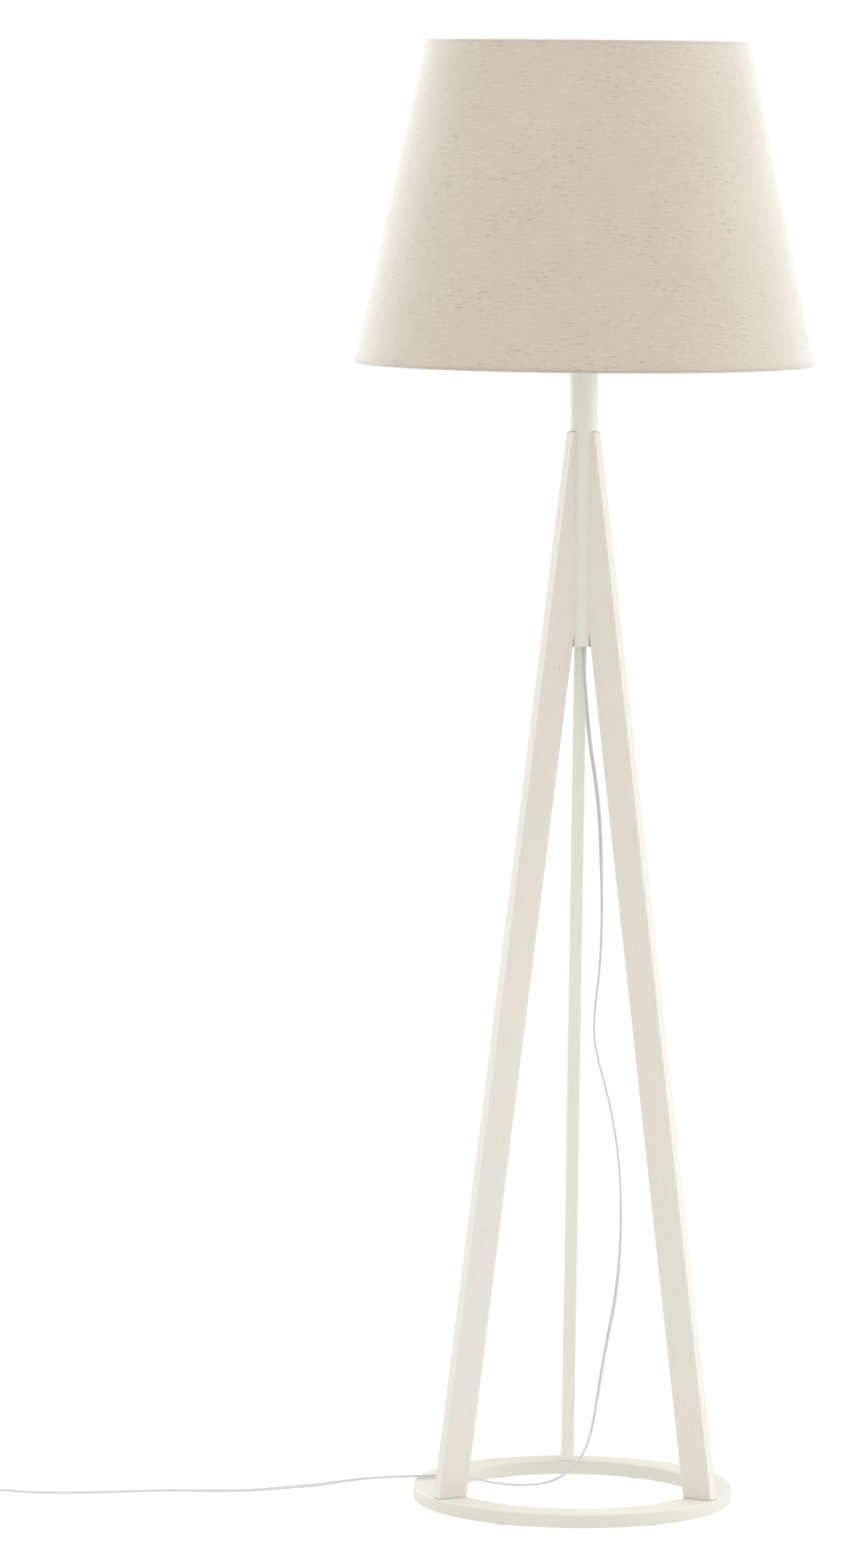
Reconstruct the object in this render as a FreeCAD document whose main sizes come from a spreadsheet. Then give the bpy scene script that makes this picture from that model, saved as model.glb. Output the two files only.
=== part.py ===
import FreeCAD, Part
import math
import os
from types import SimpleNamespace

import Sketcher

# Tripod floor lamp. Millimetres, +Z up, origin on the floor in the middle of the base ring.
# Three flat wooden legs stand on a wooden ring and hold a round pole between their tops. The pole
# carries an E27 holder and a tapered linen shade. The mains lead leaves the pole's lower end.

Vector = FreeCAD.Vector
UP = Vector(0, 0, 1)

DIMENSIONS = [
    # base ring and its pads
    ("ring_outer_dia", 350), ("ring_inner_dia", 278), ("ring_thick", 15), ("ring_round", 1.5),
    ("pad_dia", 22), ("pad_thick", 2),
    # legs
    ("leg_thick", 14), ("leg_width", 34), ("leg_inset", 0.5), ("leg_tip", 4), ("leg_top", 1177),
    ("leg_round", 1.0), ("leg_corner", 3),
    # centre pole
    ("pole_dia", 30), ("pole_bottom", 943), ("pole_top", 1290), ("pole_bore", 12), ("shoulder_gap", 0.6),
    ("sleeve_wall", 0.6), ("sleeve_tall", 16),
    # dowels and foot screws
    ("dowel_dia", 6), ("dowel_in_pole", 6), ("dowel_in_leg", 14), ("dowel_low", 50), ("dowel_high", 97),
    ("screw_dia", 4), ("screw_head_dia", 8), ("screw_head_tall", 2.4), ("screw_in_leg", 30),
    ("screw_sink", 0.6), ("pilot_over", 1), ("fit_gap", 0.05),
    # threaded tube, washer and nut on top of the pole
    ("tube_dia", 10), ("tube_bore", 7.2), ("tube_in_pole", 35), ("washer_dia", 26), ("washer_thick", 1.2),
    ("nut_across", 16), ("nut_tall", 4), ("tube_in_cap", 6),
    # lamp holder
    ("cap_dia", 37), ("cap_neck_dia", 17), ("cap_tall", 22), ("cap_wall", 2), ("cap_step", 4),
    ("cap_boss_tall", 8), ("holder_dia", 40), ("plastic_ease", 1),
    ("holder_tall", 33), ("socket_gap", 0.8), ("insulator_tall", 6), ("contact_dia", 7),
    ("contact_tall", 1.6), ("terminal_dia", 4), ("terminal_inset", 4.5), ("side_contact_thick", 0.3),
    ("side_contact_wide", 5), ("side_contact_tall", 12), ("spring_back", 0.15),
    ("shade_ring_wide", 8), ("shade_ring_tall", 5),
    ("shade_ring_rise", 9), ("thread_gap", 0.1), ("turn_gap", 0.3), ("wire_lead_dia", 2.2),
    # bulb
    ("bulb_dia", 60), ("bulb_tall", 106), ("bulb_neck_dia", 27), ("bulb_wall", 0.8), ("shell_dia", 26),
    ("shell_tall", 22), ("shell_wall", 0.5), ("tip_dia", 10), ("tip_tall", 1.5), ("collar_tall", 3.5),
    ("stem_dia", 10), ("stem_tall", 36), ("filament_dia", 2.2), ("filament_tall", 30),
    ("filament_ring_dia", 16), ("stem_tip_dia", 3),
    # shade
    ("shade_bottom_dia", 500), ("shade_top_dia", 350), ("shade_tall", 350), ("shade_bottom", 1250),
    ("linen_thick", 0.7), ("lining_thick", 0.8), ("layer_gap", 0.1), ("rim_wire_dia", 3.2),
    ("hem_tall", 9), ("fitter_over", 3), ("fitter_gap", 0.5), ("fitter_thick", 1.6), ("arm_dia", 3.2),
    ("arm_in_ring", 2), ("arm_slot_gap", 0.3), ("fold_ease", 0.8),
    # mains lead, tie and coil
    ("cord_dia", 4.5), ("cord_bore_gap", 0.15), ("coil_inner_dia", 38.4), ("coil_outer_dia", 66.8),
    ("coil_tall", 9.4), ("coil_ease", 1.5), ("tie_thick", 0.8), ("tie_width", 8),
    # foot switch
    ("switch_length", 84), ("switch_width", 38), ("switch_base_tall", 9), ("switch_cover_tall", 13),
    ("switch_wall", 2), ("switch_round", 3.5), ("button_margin", 6), ("button_tall", 11), ("button_gap", 0.3),
    ("button_lip", 1.8), ("button_lip_wide", 2), ("spring_dia", 10), ("spring_wire_dia", 0.8),
    ("spring_pitch", 2.6), ("spring_seat_tall", 1.5), ("spring_seat_gap", 0.6), ("spring_cup_gap", 1),
    ("boss_dia", 5.2), ("boss_inset", 3), ("case_screw_dia", 2.4), ("case_head_dia", 4.2),
    ("case_head_tall", 1.6), ("case_head_sink", 0.9), ("case_screw_over", 4),
    ("contact_strip_long", 9), ("contact_strip_wide", 4),
    ("contact_strip_thick", 0.6), ("contact_strip_rise", 4), ("contact_strip_out", 16),
    ("relief_big_dia", 9), ("relief_small_dia", 6.4), ("relief_long", 22), ("cord_height", 6),
    # plug
    ("plug_length", 34), ("plug_width", 35.3), ("plug_tall", 13.7), ("plug_round", 3.5), ("pin_dia", 4),
    ("pin_long", 19), ("pin_apart", 19), ("pin_sleeve_dia", 3.8), ("pin_sleeve_tip_dia", 3.6),
    ("pin_sleeve_long", 10), ("pin_core_dia", 3.2), ("pin_in_body", 12), ("plug_taper", 8),
    ("plug_back_wide", 16),
]
LEGS = {"leg_left": 210, "leg_right": 330, "leg_back": 90}
PAD_ANGLES = range(0, 360, 60)
ARM_ANGLES = (30, 150, 270)

# Places on the floor, beside the lamp, of the switch, the coil and the plug.
SWITCH_AT = (-710, 10)
COIL_AT = (-822, -18.5)
PLUG_AT = (-744, -46.8)

# Route of the lead from the pole's mouth, over the ring, to the switch.
LEAD_ROUTE = [
    (2.6, 0, 943), (2.6, 0, 919), (5.6, 2, 889), (10.2, 5, 840), (17.6, 8.5, 797), (23.2, 12, 750),
    (25.6, 17.5, 694), (27.0, 22.5, 641), (25.4, 28, 584), (20.2, 32, 541), (19.6, 34.5, 504),
    (31.2, 38, 462), (41.0, 42, 424), (49.4, 47, 374), (52.8, 52, 322), (52.6, 56.5, 268),
    (48.2, 61, 215), (40.2, 64.5, 172), (32.8, 68, 126), (27.2, 72, 84), (20.8, 76, 50), (9.6, 79, 27),
    (-6.4, 80.5, 11.6), (-24.8, 79, 3.4), (-44, 72.6, 2.3), (-66, 71.2, 2.5), (-88, 69.4, 5.6),
    (-105, 56, 14.6), (-125, 37.4, 23.9), (-177, 30, 23.9), (-207, 36, 18.6), (-242, 57.6, 10.2),
    (-276, 59, 4.0), (-314, 51, 2.3), (-352, 31.5, 2.3), (-400, 28, 2.3), (-452, 31.4, 2.3),
    (-508, 18.4, 2.3), (-560, 12.4, 2.3), (-602, 12, 2.9), (-630, 10, 6), (-655, 10, 6),
]
# The lead after the switch reaches the coil, and leaves it again for the plug.
TAIL_ROUTE = [(-766, 10, 6), (-783, 10, 6), (-798, 11.6, 4.0), (-813, 12.4, 3.1)]
END_ROUTE = [(-812, -47.4, 7.6), (-801, -47.5, 7.8), (-789.5, -46.8, 6.85), (-773, -46.8, 6.85)]
CORD_IN_POLE = [(2.6, 0, 943), (2.6, 0, 1040), (1.4, 0, 1130), (0, 0, 1190), (0, 0, 1298)]


class Size:
    """A number together with the expression that gives it from the sheet."""

    def __init__(self, value, text):
        self.value = value
        self.text = text

    def __add__(self, other):
        return Size(self.value + size(other).value, f"({self.text} + {size(other).text})")

    def __sub__(self, other):
        return Size(self.value - size(other).value, f"({self.text} - {size(other).text})")

    def __mul__(self, other):
        return Size(self.value * size(other).value, f"({self.text} * {size(other).text})")

    def __truediv__(self, other):
        return Size(self.value / size(other).value, f"({self.text} / {size(other).text})")

    def __radd__(self, other):
        return size(other) + self

    def __rsub__(self, other):
        return size(other) - self

    def __rmul__(self, other):
        return size(other) * self

    def root(self):
        return Size(math.sqrt(self.value), f"sqrt({self.text})")


def size(amount):
    """The amount as a Size, whether it is one already or a plain number."""
    if isinstance(amount, Size):
        return amount
    return Size(float(amount), f"({float(amount):.9f})")


doc = FreeCAD.newDocument("tripod_floor_lamp")
sheet = doc.addObject("Spreadsheet::Sheet", "dims")
dims = SimpleNamespace()
for row, (alias, amount) in enumerate(DIMENSIONS, start=1):
    sheet.set(f"A{row}", alias.replace("_", " "))
    sheet.set(f"B{row}", str(amount))
    sheet.setAlias(f"B{row}", alias)
    setattr(dims, alias, Size(float(amount), f"dims.{alias}"))
doc.recompute()
finished = {}


def bind(item, **sizes):
    """Each named property follows its Size."""
    for name, amount in sizes.items():
        setattr(item, name, size(amount).value)
        item.setExpression(name, size(amount).text)
    return item


def place(item, x=0, y=0, z=0, turn=None):
    """Puts an item at a point that follows its Sizes, turned by a fixed rotation."""
    point = [size(x), size(y), size(z)]
    item.Placement = FreeCAD.Placement(Vector(*[p.value for p in point]), turn or FreeCAD.Rotation())
    for axis, amount in zip("xyz", point):
        item.setExpression(f"Placement.Base.{axis}", amount.text)
    return item


def about_z(angle):
    return FreeCAD.Rotation(UP, angle)


def along_x(angle=0):
    """Turns a shape that stands along Z so that it lies along X, then round Z by the angle."""
    return about_z(angle) * FreeCAD.Rotation(Vector(0, 1, 0), 90)


def polar(angle, out, side=0):
    """The x and y of a point that is so far out along an angle, and so far to its left."""
    cosine = math.cos(math.radians(angle))
    sine = math.sin(math.radians(angle))
    return size(out) * cosine - size(side) * sine, size(out) * sine + size(side) * cosine


def cylinder(name, radius, height):
    return bind(doc.addObject("Part::Cylinder", name), Radius=radius, Height=height)


def cone(name, bottom, top, height):
    return bind(doc.addObject("Part::Cone", name), Radius1=bottom, Radius2=top, Height=height)


def block(name, length, width, height):
    return bind(doc.addObject("Part::Box", name), Length=length, Width=width, Height=height)


def torus(name, ring, wire):
    return bind(doc.addObject("Part::Torus", name), Radius1=ring, Radius2=wire)


def joined(name, *items):
    fused = doc.addObject("Part::MultiFuse", name)
    fused.Shapes = list(items)
    return fused


def group(name, items):
    """Separate solids that share one node."""
    together = doc.addObject("Part::Compound", name)
    together.Links = list(items)
    return together


def cut(name, base, *tools):
    result = doc.addObject("Part::Cut", name)
    result.Base = base
    result.Tool = tools[0] if len(tools) == 1 else joined(f"{name}_tools", *tools)
    return result


def tube(name, outer, inner, height, x=0, y=0, z=0, turn=None):
    """A straight pipe, open at both ends."""
    wall = place(cylinder(f"{name}_wall", outer, height), x, y, z, turn)
    bore = place(cylinder(f"{name}_bore", inner, height), x, y, z, turn)
    return cut(name, wall, bore)


def finish(label, item):
    """Names a finished sub-part."""
    item.Label = label
    finished[label] = item
    return item


def new_body(name):
    return doc.addObject("PartDesign::Body", name)


def sketch_on(body, plane, name):
    sketch = body.newObject("Sketcher::SketchObject", name)
    origin_plane = [item for item in body.Origin.OriginFeatures if item.Role == plane][0]
    sketch.AttachmentSupport = [(origin_plane, "")]
    sketch.MapMode = "FlatFace"
    return sketch


def fix_point(sketch, line, end, x, y):
    """Ties one end of a line to a point that follows its Sizes; zero means on the axis."""
    for kind, amount, axis in (("DistanceX", size(x), -2), ("DistanceY", size(y), -1)):
        if amount.value == 0:
            sketch.addConstraint(Sketcher.Constraint("PointOnObject", line, end, axis))
            continue
        number = sketch.addConstraint(Sketcher.Constraint(kind, -1, 1, line, end, amount.value))
        sketch.setExpression(f"Constraints[{number}]", amount.text)


def outline(body, plane, name, corners):
    """A closed sketch of straight lines through corners given as pairs of Sizes."""
    sketch = sketch_on(body, plane, name)
    points = [Vector(size(x).value, size(y).value, 0) for x, y in corners]
    count = len(points)
    for index in range(count):
        sketch.addGeometry(Part.LineSegment(points[index], points[(index + 1) % count]), False)
    for index in range(count):
        sketch.addConstraint(Sketcher.Constraint("Coincident", index, 2, (index + 1) % count, 1))
    for index, (x, y) in enumerate(corners):
        fix_point(sketch, index, 1, x, y)
    return sketch


def turned(name, corners):
    """A piece turned about Z from an outline of (radius, height) corners."""
    body = new_body(name)
    sketch = outline(body, "XZ_Plane", f"{name}_outline", corners)
    revolution = body.newObject("PartDesign::Revolution", f"{name}_turning")
    revolution.Profile = sketch
    revolution.ReferenceAxis = (sketch, ["V_Axis"])
    revolution.Angle = 360
    return body


def pad(body, sketch, name, length, both_ways=False):
    feature = body.newObject("PartDesign::Pad", name)
    feature.Profile = sketch
    feature.SideType = "Symmetric" if both_ways else "One side"
    return bind(feature, Length=length)


def rounded(body, feature, name, radius, wanted):
    """Rounds the edges of a feature that the test picks."""
    doc.recompute()
    edges = [f"Edge{n}" for n, edge in enumerate(feature.Shape.Edges, start=1) if wanted(edge)]
    fillet = body.newObject("PartDesign::Fillet", name)
    fillet.Base = (feature, edges)
    bind(fillet, Radius=radius)
    body.Tip = fillet
    return fillet


def is_level(edge, height):
    return abs(edge.BoundBox.ZMin - height) < 1e-4 and abs(edge.BoundBox.ZMax - height) < 1e-4


# ---- base ring, pads, screws ----------------------------------------------------------------

ring_bottom = dims.pad_thick
ring_top = dims.pad_thick + dims.ring_thick
foot_out = dims.ring_outer_dia / 2 - dims.leg_inset
foot_in = foot_out - dims.leg_width
foot_middle = foot_out - dims.leg_width / 2

ring_body = new_body("ring_blank")
ring_sketch = sketch_on(ring_body, "XY_Plane", "ring_circles")
for number, diameter in enumerate((dims.ring_outer_dia, dims.ring_inner_dia)):
    circle = Part.Circle(Vector(0, 0, 0), UP, diameter.value / 2)
    ring_sketch.addGeometry(circle, False)
    ring_sketch.addConstraint(Sketcher.Constraint("Coincident", number, 3, -1, 1))
    measure = ring_sketch.addConstraint(Sketcher.Constraint("Diameter", number, diameter.value))
    ring_sketch.setExpression(f"Constraints[{measure}]", diameter.text)
ring_pad = pad(ring_body, ring_sketch, "ring_plate", dims.ring_thick)
rounded(ring_body, ring_pad, "ring_edges", dims.ring_round, lambda edge: edge.Length > 100)
place(ring_body, z=ring_bottom)

screw_holes = []
screws = []
pilot_holes = {}
screw_length = dims.ring_thick - dims.screw_sink + dims.screw_in_leg
shank_hole = dims.screw_dia / 2 + dims.fit_gap
head_hole = dims.screw_head_dia / 2 + dims.fit_gap
for leg, angle in LEGS.items():
    x, y = polar(angle, foot_middle)
    head_z = ring_bottom + dims.screw_sink
    shank = place(cylinder(f"{leg}_hole", shank_hole, dims.ring_thick), x, y, ring_bottom)
    sink = place(cylinder(f"{leg}_sink", head_hole, dims.screw_sink), x, y, ring_bottom)
    taper = cone(f"{leg}_taper", head_hole, shank_hole, dims.screw_head_tall)
    screw_holes += [shank, sink, place(taper, x, y, head_z)]
    head = cone(f"{leg}_screw_head", dims.screw_head_dia / 2, dims.screw_dia / 2, dims.screw_head_tall)
    stem = cylinder(f"{leg}_screw_stem", dims.screw_dia / 2, screw_length)
    screws.append(joined(f"{leg}_screw", place(head, x, y, head_z), place(stem, x, y, head_z)))
    pilot = cylinder(f"{leg}_pilot", shank_hole, screw_length + dims.pilot_over)
    pilot_holes[leg] = place(pilot, x, y, head_z)
finish("base_ring", cut("base_ring", ring_body, *screw_holes))
finish("foot_screws", group("foot_screws", screws))

pads = []
for angle in PAD_ANGLES:
    x, y = polar(angle, foot_middle)
    pads.append(place(cylinder(f"pad_{angle}", dims.pad_dia / 2, dims.pad_thick), x, y, 0))
finish("floor_pads", group("floor_pads", pads))

# ---- legs, pole and the dowels between them ---------------------------------------------------

# A flat on the pole is as wide as a leg is thick.
flat_out = ((dims.pole_dia / 2) * (dims.pole_dia / 2) - (dims.leg_thick / 2) * (dims.leg_thick / 2)).root()
tip_out = flat_out + dims.leg_tip
leg_slope = (foot_out - tip_out) / (dims.leg_top - ring_top)
heel_height = ring_top + (foot_in - flat_out) / leg_slope
dowel_heights = (dims.pole_bottom + dims.dowel_low, dims.leg_top - dims.dowel_high)

dowels = []
pole_tools = []
for leg, angle in LEGS.items():
    body = new_body(f"{leg}_board")
    corners = [
        (foot_in, ring_top), (foot_out, ring_top), (tip_out, dims.leg_top), (flat_out, dims.leg_top),
        (flat_out, heel_height),
    ]
    face = outline(body, "XZ_Plane", f"{leg}_face", corners)
    board = pad(body, face, f"{leg}_thickness", dims.leg_thick, both_ways=True)
    board = rounded(
        body, board, f"{leg}_top_corner", dims.leg_corner,
        lambda edge: is_level(edge, dims.leg_top.value) and edge.BoundBox.XMin > tip_out.value - 0.01)
    long_edge = (heel_height.value - ring_top.value) * 0.9
    rounded(body, board, f"{leg}_edges", dims.leg_round, lambda edge: edge.Length > long_edge)
    place(body, turn=about_z(angle))
    leg_tools = [pilot_holes[leg]]
    for number, height in enumerate(dowel_heights):
        x, y = polar(angle, flat_out - dims.dowel_in_pole)
        length = dims.dowel_in_pole + dims.dowel_in_leg
        dowel = cylinder(f"{leg}_dowel_{number}", dims.dowel_dia / 2, length)
        dowels.append(place(dowel, x, y, height, along_x(angle)))
        hole = cylinder(f"{leg}_dowel_hole_{number}", dims.dowel_dia / 2 + dims.fit_gap, length)
        leg_tools.append(place(hole, x, y, height, along_x(angle)))
        pole_tools.append(hole)
    finish(leg, cut(leg, body, *leg_tools))
    x, y = polar(angle, flat_out, 0 - dims.pole_dia)
    flat_tall = dims.leg_top + dims.shoulder_gap - dims.pole_bottom
    flat = block(f"{leg}_flat", dims.pole_dia, dims.pole_dia * 2, flat_tall)
    pole_tools.append(place(flat, x, y, dims.pole_bottom, about_z(angle)))
finish("leg_dowels", group("leg_dowels", dowels))

pole_length = dims.pole_top - dims.pole_bottom
pole_rod = place(cylinder("pole_rod", dims.pole_dia / 2, pole_length), z=dims.pole_bottom)
wide_bore = cylinder("pole_wide_bore", dims.pole_bore / 2, pole_length - dims.tube_in_pole)
narrow_bore = cylinder("pole_narrow_bore", dims.tube_dia / 2 + dims.fit_gap, pole_length)
place(wide_bore, z=dims.pole_bottom)
place(narrow_bore, z=dims.pole_bottom)
finish("centre_pole", cut("centre_pole", pole_rod, wide_bore, narrow_bore, *pole_tools))

sleeve_out = dims.pole_bore / 2 - dims.fit_gap
sleeve = tube("cord_sleeve", sleeve_out, sleeve_out - dims.sleeve_wall, dims.sleeve_tall, z=dims.pole_bottom)
finish("cord_sleeve", sleeve)

# ---- top of the pole and lamp holder ----------------------------------------------------------

washer_top = dims.pole_top + dims.washer_thick
cap_bottom = washer_top + dims.nut_tall
cap_top = cap_bottom + dims.cap_tall
holder_top = cap_top + dims.holder_tall
tube_top = cap_bottom + dims.cap_wall + dims.tube_in_cap
tube_bottom = dims.pole_top - dims.tube_in_pole
thread_bore = dims.tube_dia / 2 + dims.fit_gap

finish("threaded_tube", tube(
    "threaded_tube", dims.tube_dia / 2, dims.tube_bore / 2, tube_top - tube_bottom, z=tube_bottom))
finish("pole_washer", tube(
    "pole_washer", dims.washer_dia / 2, thread_bore, dims.washer_thick, z=dims.pole_top))

hexagon = doc.addObject("Part::Prism", "lock_nut_hexagon")
hexagon.Polygon = 6
bind(hexagon, Circumradius=dims.nut_across / 2 / math.cos(math.radians(30)), Height=dims.nut_tall)
place(hexagon, z=washer_top)
nut_bore = place(cylinder("lock_nut_bore", thread_bore, dims.nut_tall), z=washer_top)
finish("lock_nut", cut("lock_nut", hexagon, nut_bore))

cap_out = dims.cap_dia / 2
neck_out = dims.cap_neck_dia / 2
shoulder = cap_bottom + dims.cap_tall * 0.6
boss_top = cap_bottom + dims.cap_boss_tall
finish("holder_cap", turned("holder_cap", [
    (thread_bore, cap_bottom), (neck_out, cap_bottom), (neck_out + dims.cap_wall, cap_bottom + dims.cap_step),
    (cap_out - dims.cap_wall, shoulder - dims.cap_step), (cap_out, shoulder), (cap_out, cap_top),
    (cap_out - dims.cap_wall, cap_top), (cap_out - dims.cap_wall, shoulder + dims.plastic_ease),
    (neck_out, boss_top), (thread_bore, boss_top),
]))

holder_out = dims.holder_dia / 2
shell_out = dims.shell_dia / 2
socket_out = shell_out + dims.socket_gap
insulator_out = cap_out - dims.cap_wall
insulator_top = cap_top + dims.insulator_tall
finish("holder_body", turned("holder_body", [
    (insulator_out + dims.fit_gap, cap_top), (holder_out, cap_top),
    (holder_out, holder_top - dims.plastic_ease), (holder_out - dims.plastic_ease, holder_top),
    (socket_out, holder_top), (socket_out, insulator_top),
    (insulator_out + dims.fit_gap, insulator_top),
]))

terminal_places = [polar(angle, insulator_out - dims.terminal_inset) for angle in (0, 180)]
terminal_holes = []
terminals = []
leads = []
lead_bottom = tube_top + dims.cap_wall / 2
for number, (x, y) in enumerate(terminal_places):
    hole = cylinder(f"terminal_hole_{number}", dims.terminal_dia / 2 + dims.fit_gap, dims.insulator_tall)
    terminal_holes.append(place(hole, x, y, cap_top))
    screw = cylinder(f"terminal_screw_{number}", dims.terminal_dia / 2, dims.insulator_tall)
    terminals.append(place(screw, x, y, cap_top))
    lead = cylinder(f"lead_{number}", dims.wire_lead_dia / 2, cap_top - lead_bottom)
    leads.append(place(lead, x * 0.5, y * 0.5, lead_bottom))
insulator = place(cylinder("insulator_disc", insulator_out, dims.insulator_tall), z=cap_top)
finish("holder_insulator", cut("holder_insulator", insulator, *terminal_holes))
finish("terminal_screws", group("terminal_screws", terminals))
finish("holder_wires", group("holder_wires", leads))
contact = cylinder("centre_contact", dims.contact_dia / 2, dims.contact_tall)
finish("centre_contact", place(contact, z=insulator_top))
side_contact = block("side_contact", dims.side_contact_thick, dims.side_contact_wide, dims.side_contact_tall)
finish("side_contact", place(
    side_contact, shell_out + dims.spring_back, 0 - dims.side_contact_wide / 2, insulator_top))

lower_ring = cap_top + dims.shade_ring_rise
fitter_bottom = lower_ring + dims.shade_ring_tall + dims.turn_gap / 2
upper_ring = fitter_bottom + dims.fitter_thick + dims.turn_gap / 2
ring_edge = holder_out + dims.shade_ring_wide
ring_bore = holder_out + dims.thread_gap
ease = dims.plastic_ease
for label, height in (("holder_ring_lower", lower_ring), ("holder_ring_upper", upper_ring)):
    finish(label, turned(label, [
        (ring_bore, height), (ring_edge - ease, height), (ring_edge, height + ease),
        (ring_edge, height + dims.shade_ring_tall - ease), (ring_edge - ease, height + dims.shade_ring_tall),
        (ring_bore, height + dims.shade_ring_tall),
    ]))

# ---- bulb ---------------------------------------------------------------------------------------

tip_bottom = insulator_top + dims.contact_tall + dims.fit_gap
collar_bottom = tip_bottom + dims.tip_tall
shell_bottom = collar_bottom + dims.collar_tall
shell_top = shell_bottom + dims.shell_tall
bulb_top = tip_bottom + dims.bulb_tall
globe_radius = dims.bulb_dia / 2
globe_middle = bulb_top - globe_radius

finish("bulb_tip_contact", place(cylinder("bulb_tip_contact", dims.tip_dia / 2, dims.tip_tall), z=tip_bottom))
collar = cone("bulb_collar", dims.tip_dia / 2, shell_out, dims.collar_tall)
finish("bulb_collar", place(collar, z=collar_bottom))
finish("bulb_screw_shell", tube(
    "bulb_screw_shell", shell_out, shell_out - dims.shell_wall, dims.shell_tall, z=shell_bottom))


def bulb_form(name, inset):
    """A globe on a tapered neck, smaller all over by the inset."""
    neck_tall = globe_middle - shell_top - globe_radius * 0.43
    neck = cone(f"{name}_neck", dims.bulb_neck_dia / 2 - inset, globe_radius * 0.9 - inset, neck_tall)
    globe = bind(doc.addObject("Part::Sphere", f"{name}_globe"), Radius=globe_radius - inset)
    return joined(name, place(neck, z=shell_top), place(globe, z=globe_middle))


glass_inside = bulb_form("glass_inside", dims.bulb_wall)
finish("bulb_glass", cut("bulb_glass", bulb_form("glass_outside", 0), glass_inside))
stem = cone("stem_foot", dims.stem_dia / 2, dims.stem_tip_dia / 2, dims.stem_tall)
finish("bulb_stem", place(stem, z=shell_top))
filaments = []
filament_bottom = globe_middle - dims.filament_tall / 2
for number in range(4):
    x, y = polar(45 + 90 * number, dims.filament_ring_dia / 2)
    rod = cylinder(f"filament_{number}", dims.filament_dia / 2, dims.filament_tall)
    filaments.append(place(rod, x, y, filament_bottom))
finish("bulb_filaments", group("bulb_filaments", filaments))

# ---- shade ------------------------------------------------------------------------------------

shade_top = dims.shade_bottom + dims.shade_tall
shade_slope = (dims.shade_bottom_dia - dims.shade_top_dia) / 2 / dims.shade_tall
lining_out = dims.linen_thick + dims.layer_gap
lining_in = lining_out + dims.lining_thick


def shade_radius(rise, inset=0):
    """The shade's outer radius so far above its lower edge, less an inset."""
    return dims.shade_bottom_dia / 2 - shade_slope * rise - inset


def shade_wall(name, low, high, outside, inside):
    """A tapered wall between two heights above the lower edge and two insets."""
    return turned(name, [
        (shade_radius(low, inside), dims.shade_bottom + low),
        (shade_radius(low, outside), dims.shade_bottom + low),
        (shade_radius(high, outside), dims.shade_bottom + high),
        (shade_radius(high, inside), dims.shade_bottom + high),
    ])


linen_low = dims.linen_thick + dims.rim_wire_dia
linen_high = dims.shade_tall - linen_low
finish("shade_linen", shade_wall("shade_linen", linen_low, linen_high, 0, dims.linen_thick))
finish("shade_lining", shade_wall("shade_lining", linen_low, linen_high, lining_out, lining_in))

# The linen is folded inwards round each rim wire and glued up the inside of the lining.
wire_inset = dims.linen_thick + dims.rim_wire_dia / 2 + dims.layer_gap
wire_rise = dims.linen_thick + dims.rim_wire_dia / 2
flap_out = wire_inset + dims.rim_wire_dia / 2 + dims.layer_gap
flap_in = flap_out + dims.linen_thick


def hem(name, edge, up):
    """The fold at a rim: outside wall, edge and inside flap as one U in section."""
    def corner(rise, inset):
        level = edge + rise * up
        return shade_radius(level, inset), dims.shade_bottom + level
    ease = dims.fold_ease
    return turned(name, [
        corner(linen_low, 0), corner(ease, 0), corner(0, ease),
        corner(0, flap_in - ease), corner(ease, flap_in), corner(dims.hem_tall, flap_in),
        corner(dims.hem_tall, flap_out), corner(dims.linen_thick, flap_out),
        corner(dims.linen_thick, dims.linen_thick), corner(linen_low, dims.linen_thick),
    ])


bottom_ring_radius = shade_radius(wire_rise, wire_inset)
top_ring_radius = shade_radius(dims.shade_tall - wire_rise, wire_inset)
bottom_wire_height = dims.shade_bottom + wire_rise
top_wire_height = shade_top - wire_rise
wire_radius = dims.rim_wire_dia / 2 - dims.fit_gap
bottom_wire = torus("shade_bottom_wire", bottom_ring_radius, wire_radius)
finish("shade_bottom_wire", place(bottom_wire, z=bottom_wire_height))
top_wire = torus("shade_top_wire", top_ring_radius, wire_radius)
finish("shade_top_wire", place(top_wire, z=top_wire_height))

fitter_out = ring_edge + dims.fitter_over
finish("fitter_ring", tube(
    "fitter_ring", fitter_out, holder_out + dims.fitter_gap, dims.fitter_thick, z=fitter_bottom))
arm_in = fitter_out - dims.arm_in_ring
arm_in_height = fitter_bottom + dims.fitter_thick / 2
arm_half = dims.arm_dia / 2
arm_out = bottom_ring_radius - wire_radius * 0.6
arms = []
slots = []
for angle in ARM_ANGLES:
    for name, half, kept in (("arm", arm_half, arms), ("slot", arm_half + dims.arm_slot_gap, slots)):
        name = f"{name}_{angle}"
        body = new_body(name)
        face = outline(body, "XZ_Plane", f"{name}_face", [
            (arm_in, arm_in_height - half), (arm_out, bottom_wire_height - half),
            (arm_out, bottom_wire_height + half), (arm_in, arm_in_height + half),
        ])
        pad(body, face, f"{name}_width", half * 2, both_ways=True)
        kept.append(place(body, turn=about_z(angle)))
ring_copy = place(
    cylinder("fitter_ring_space", fitter_out, dims.shade_ring_tall * 4),
    z=fitter_bottom - dims.shade_ring_tall * 2)
wire_copy = torus("bottom_wire_space", bottom_ring_radius, wire_radius)
place(wire_copy, z=bottom_wire_height)
finish("fitter_arms", cut("fitter_arms", group("arm_blanks", arms), ring_copy, wire_copy))
bottom_hem = hem("bottom_hem_fold", size(0), 1)
finish("shade_bottom_hem", cut("shade_bottom_hem", bottom_hem, *slots))
finish("shade_top_hem", hem("shade_top_hem", dims.shade_tall, -1))

# ---- foot switch ---------------------------------------------------------------------------------

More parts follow.
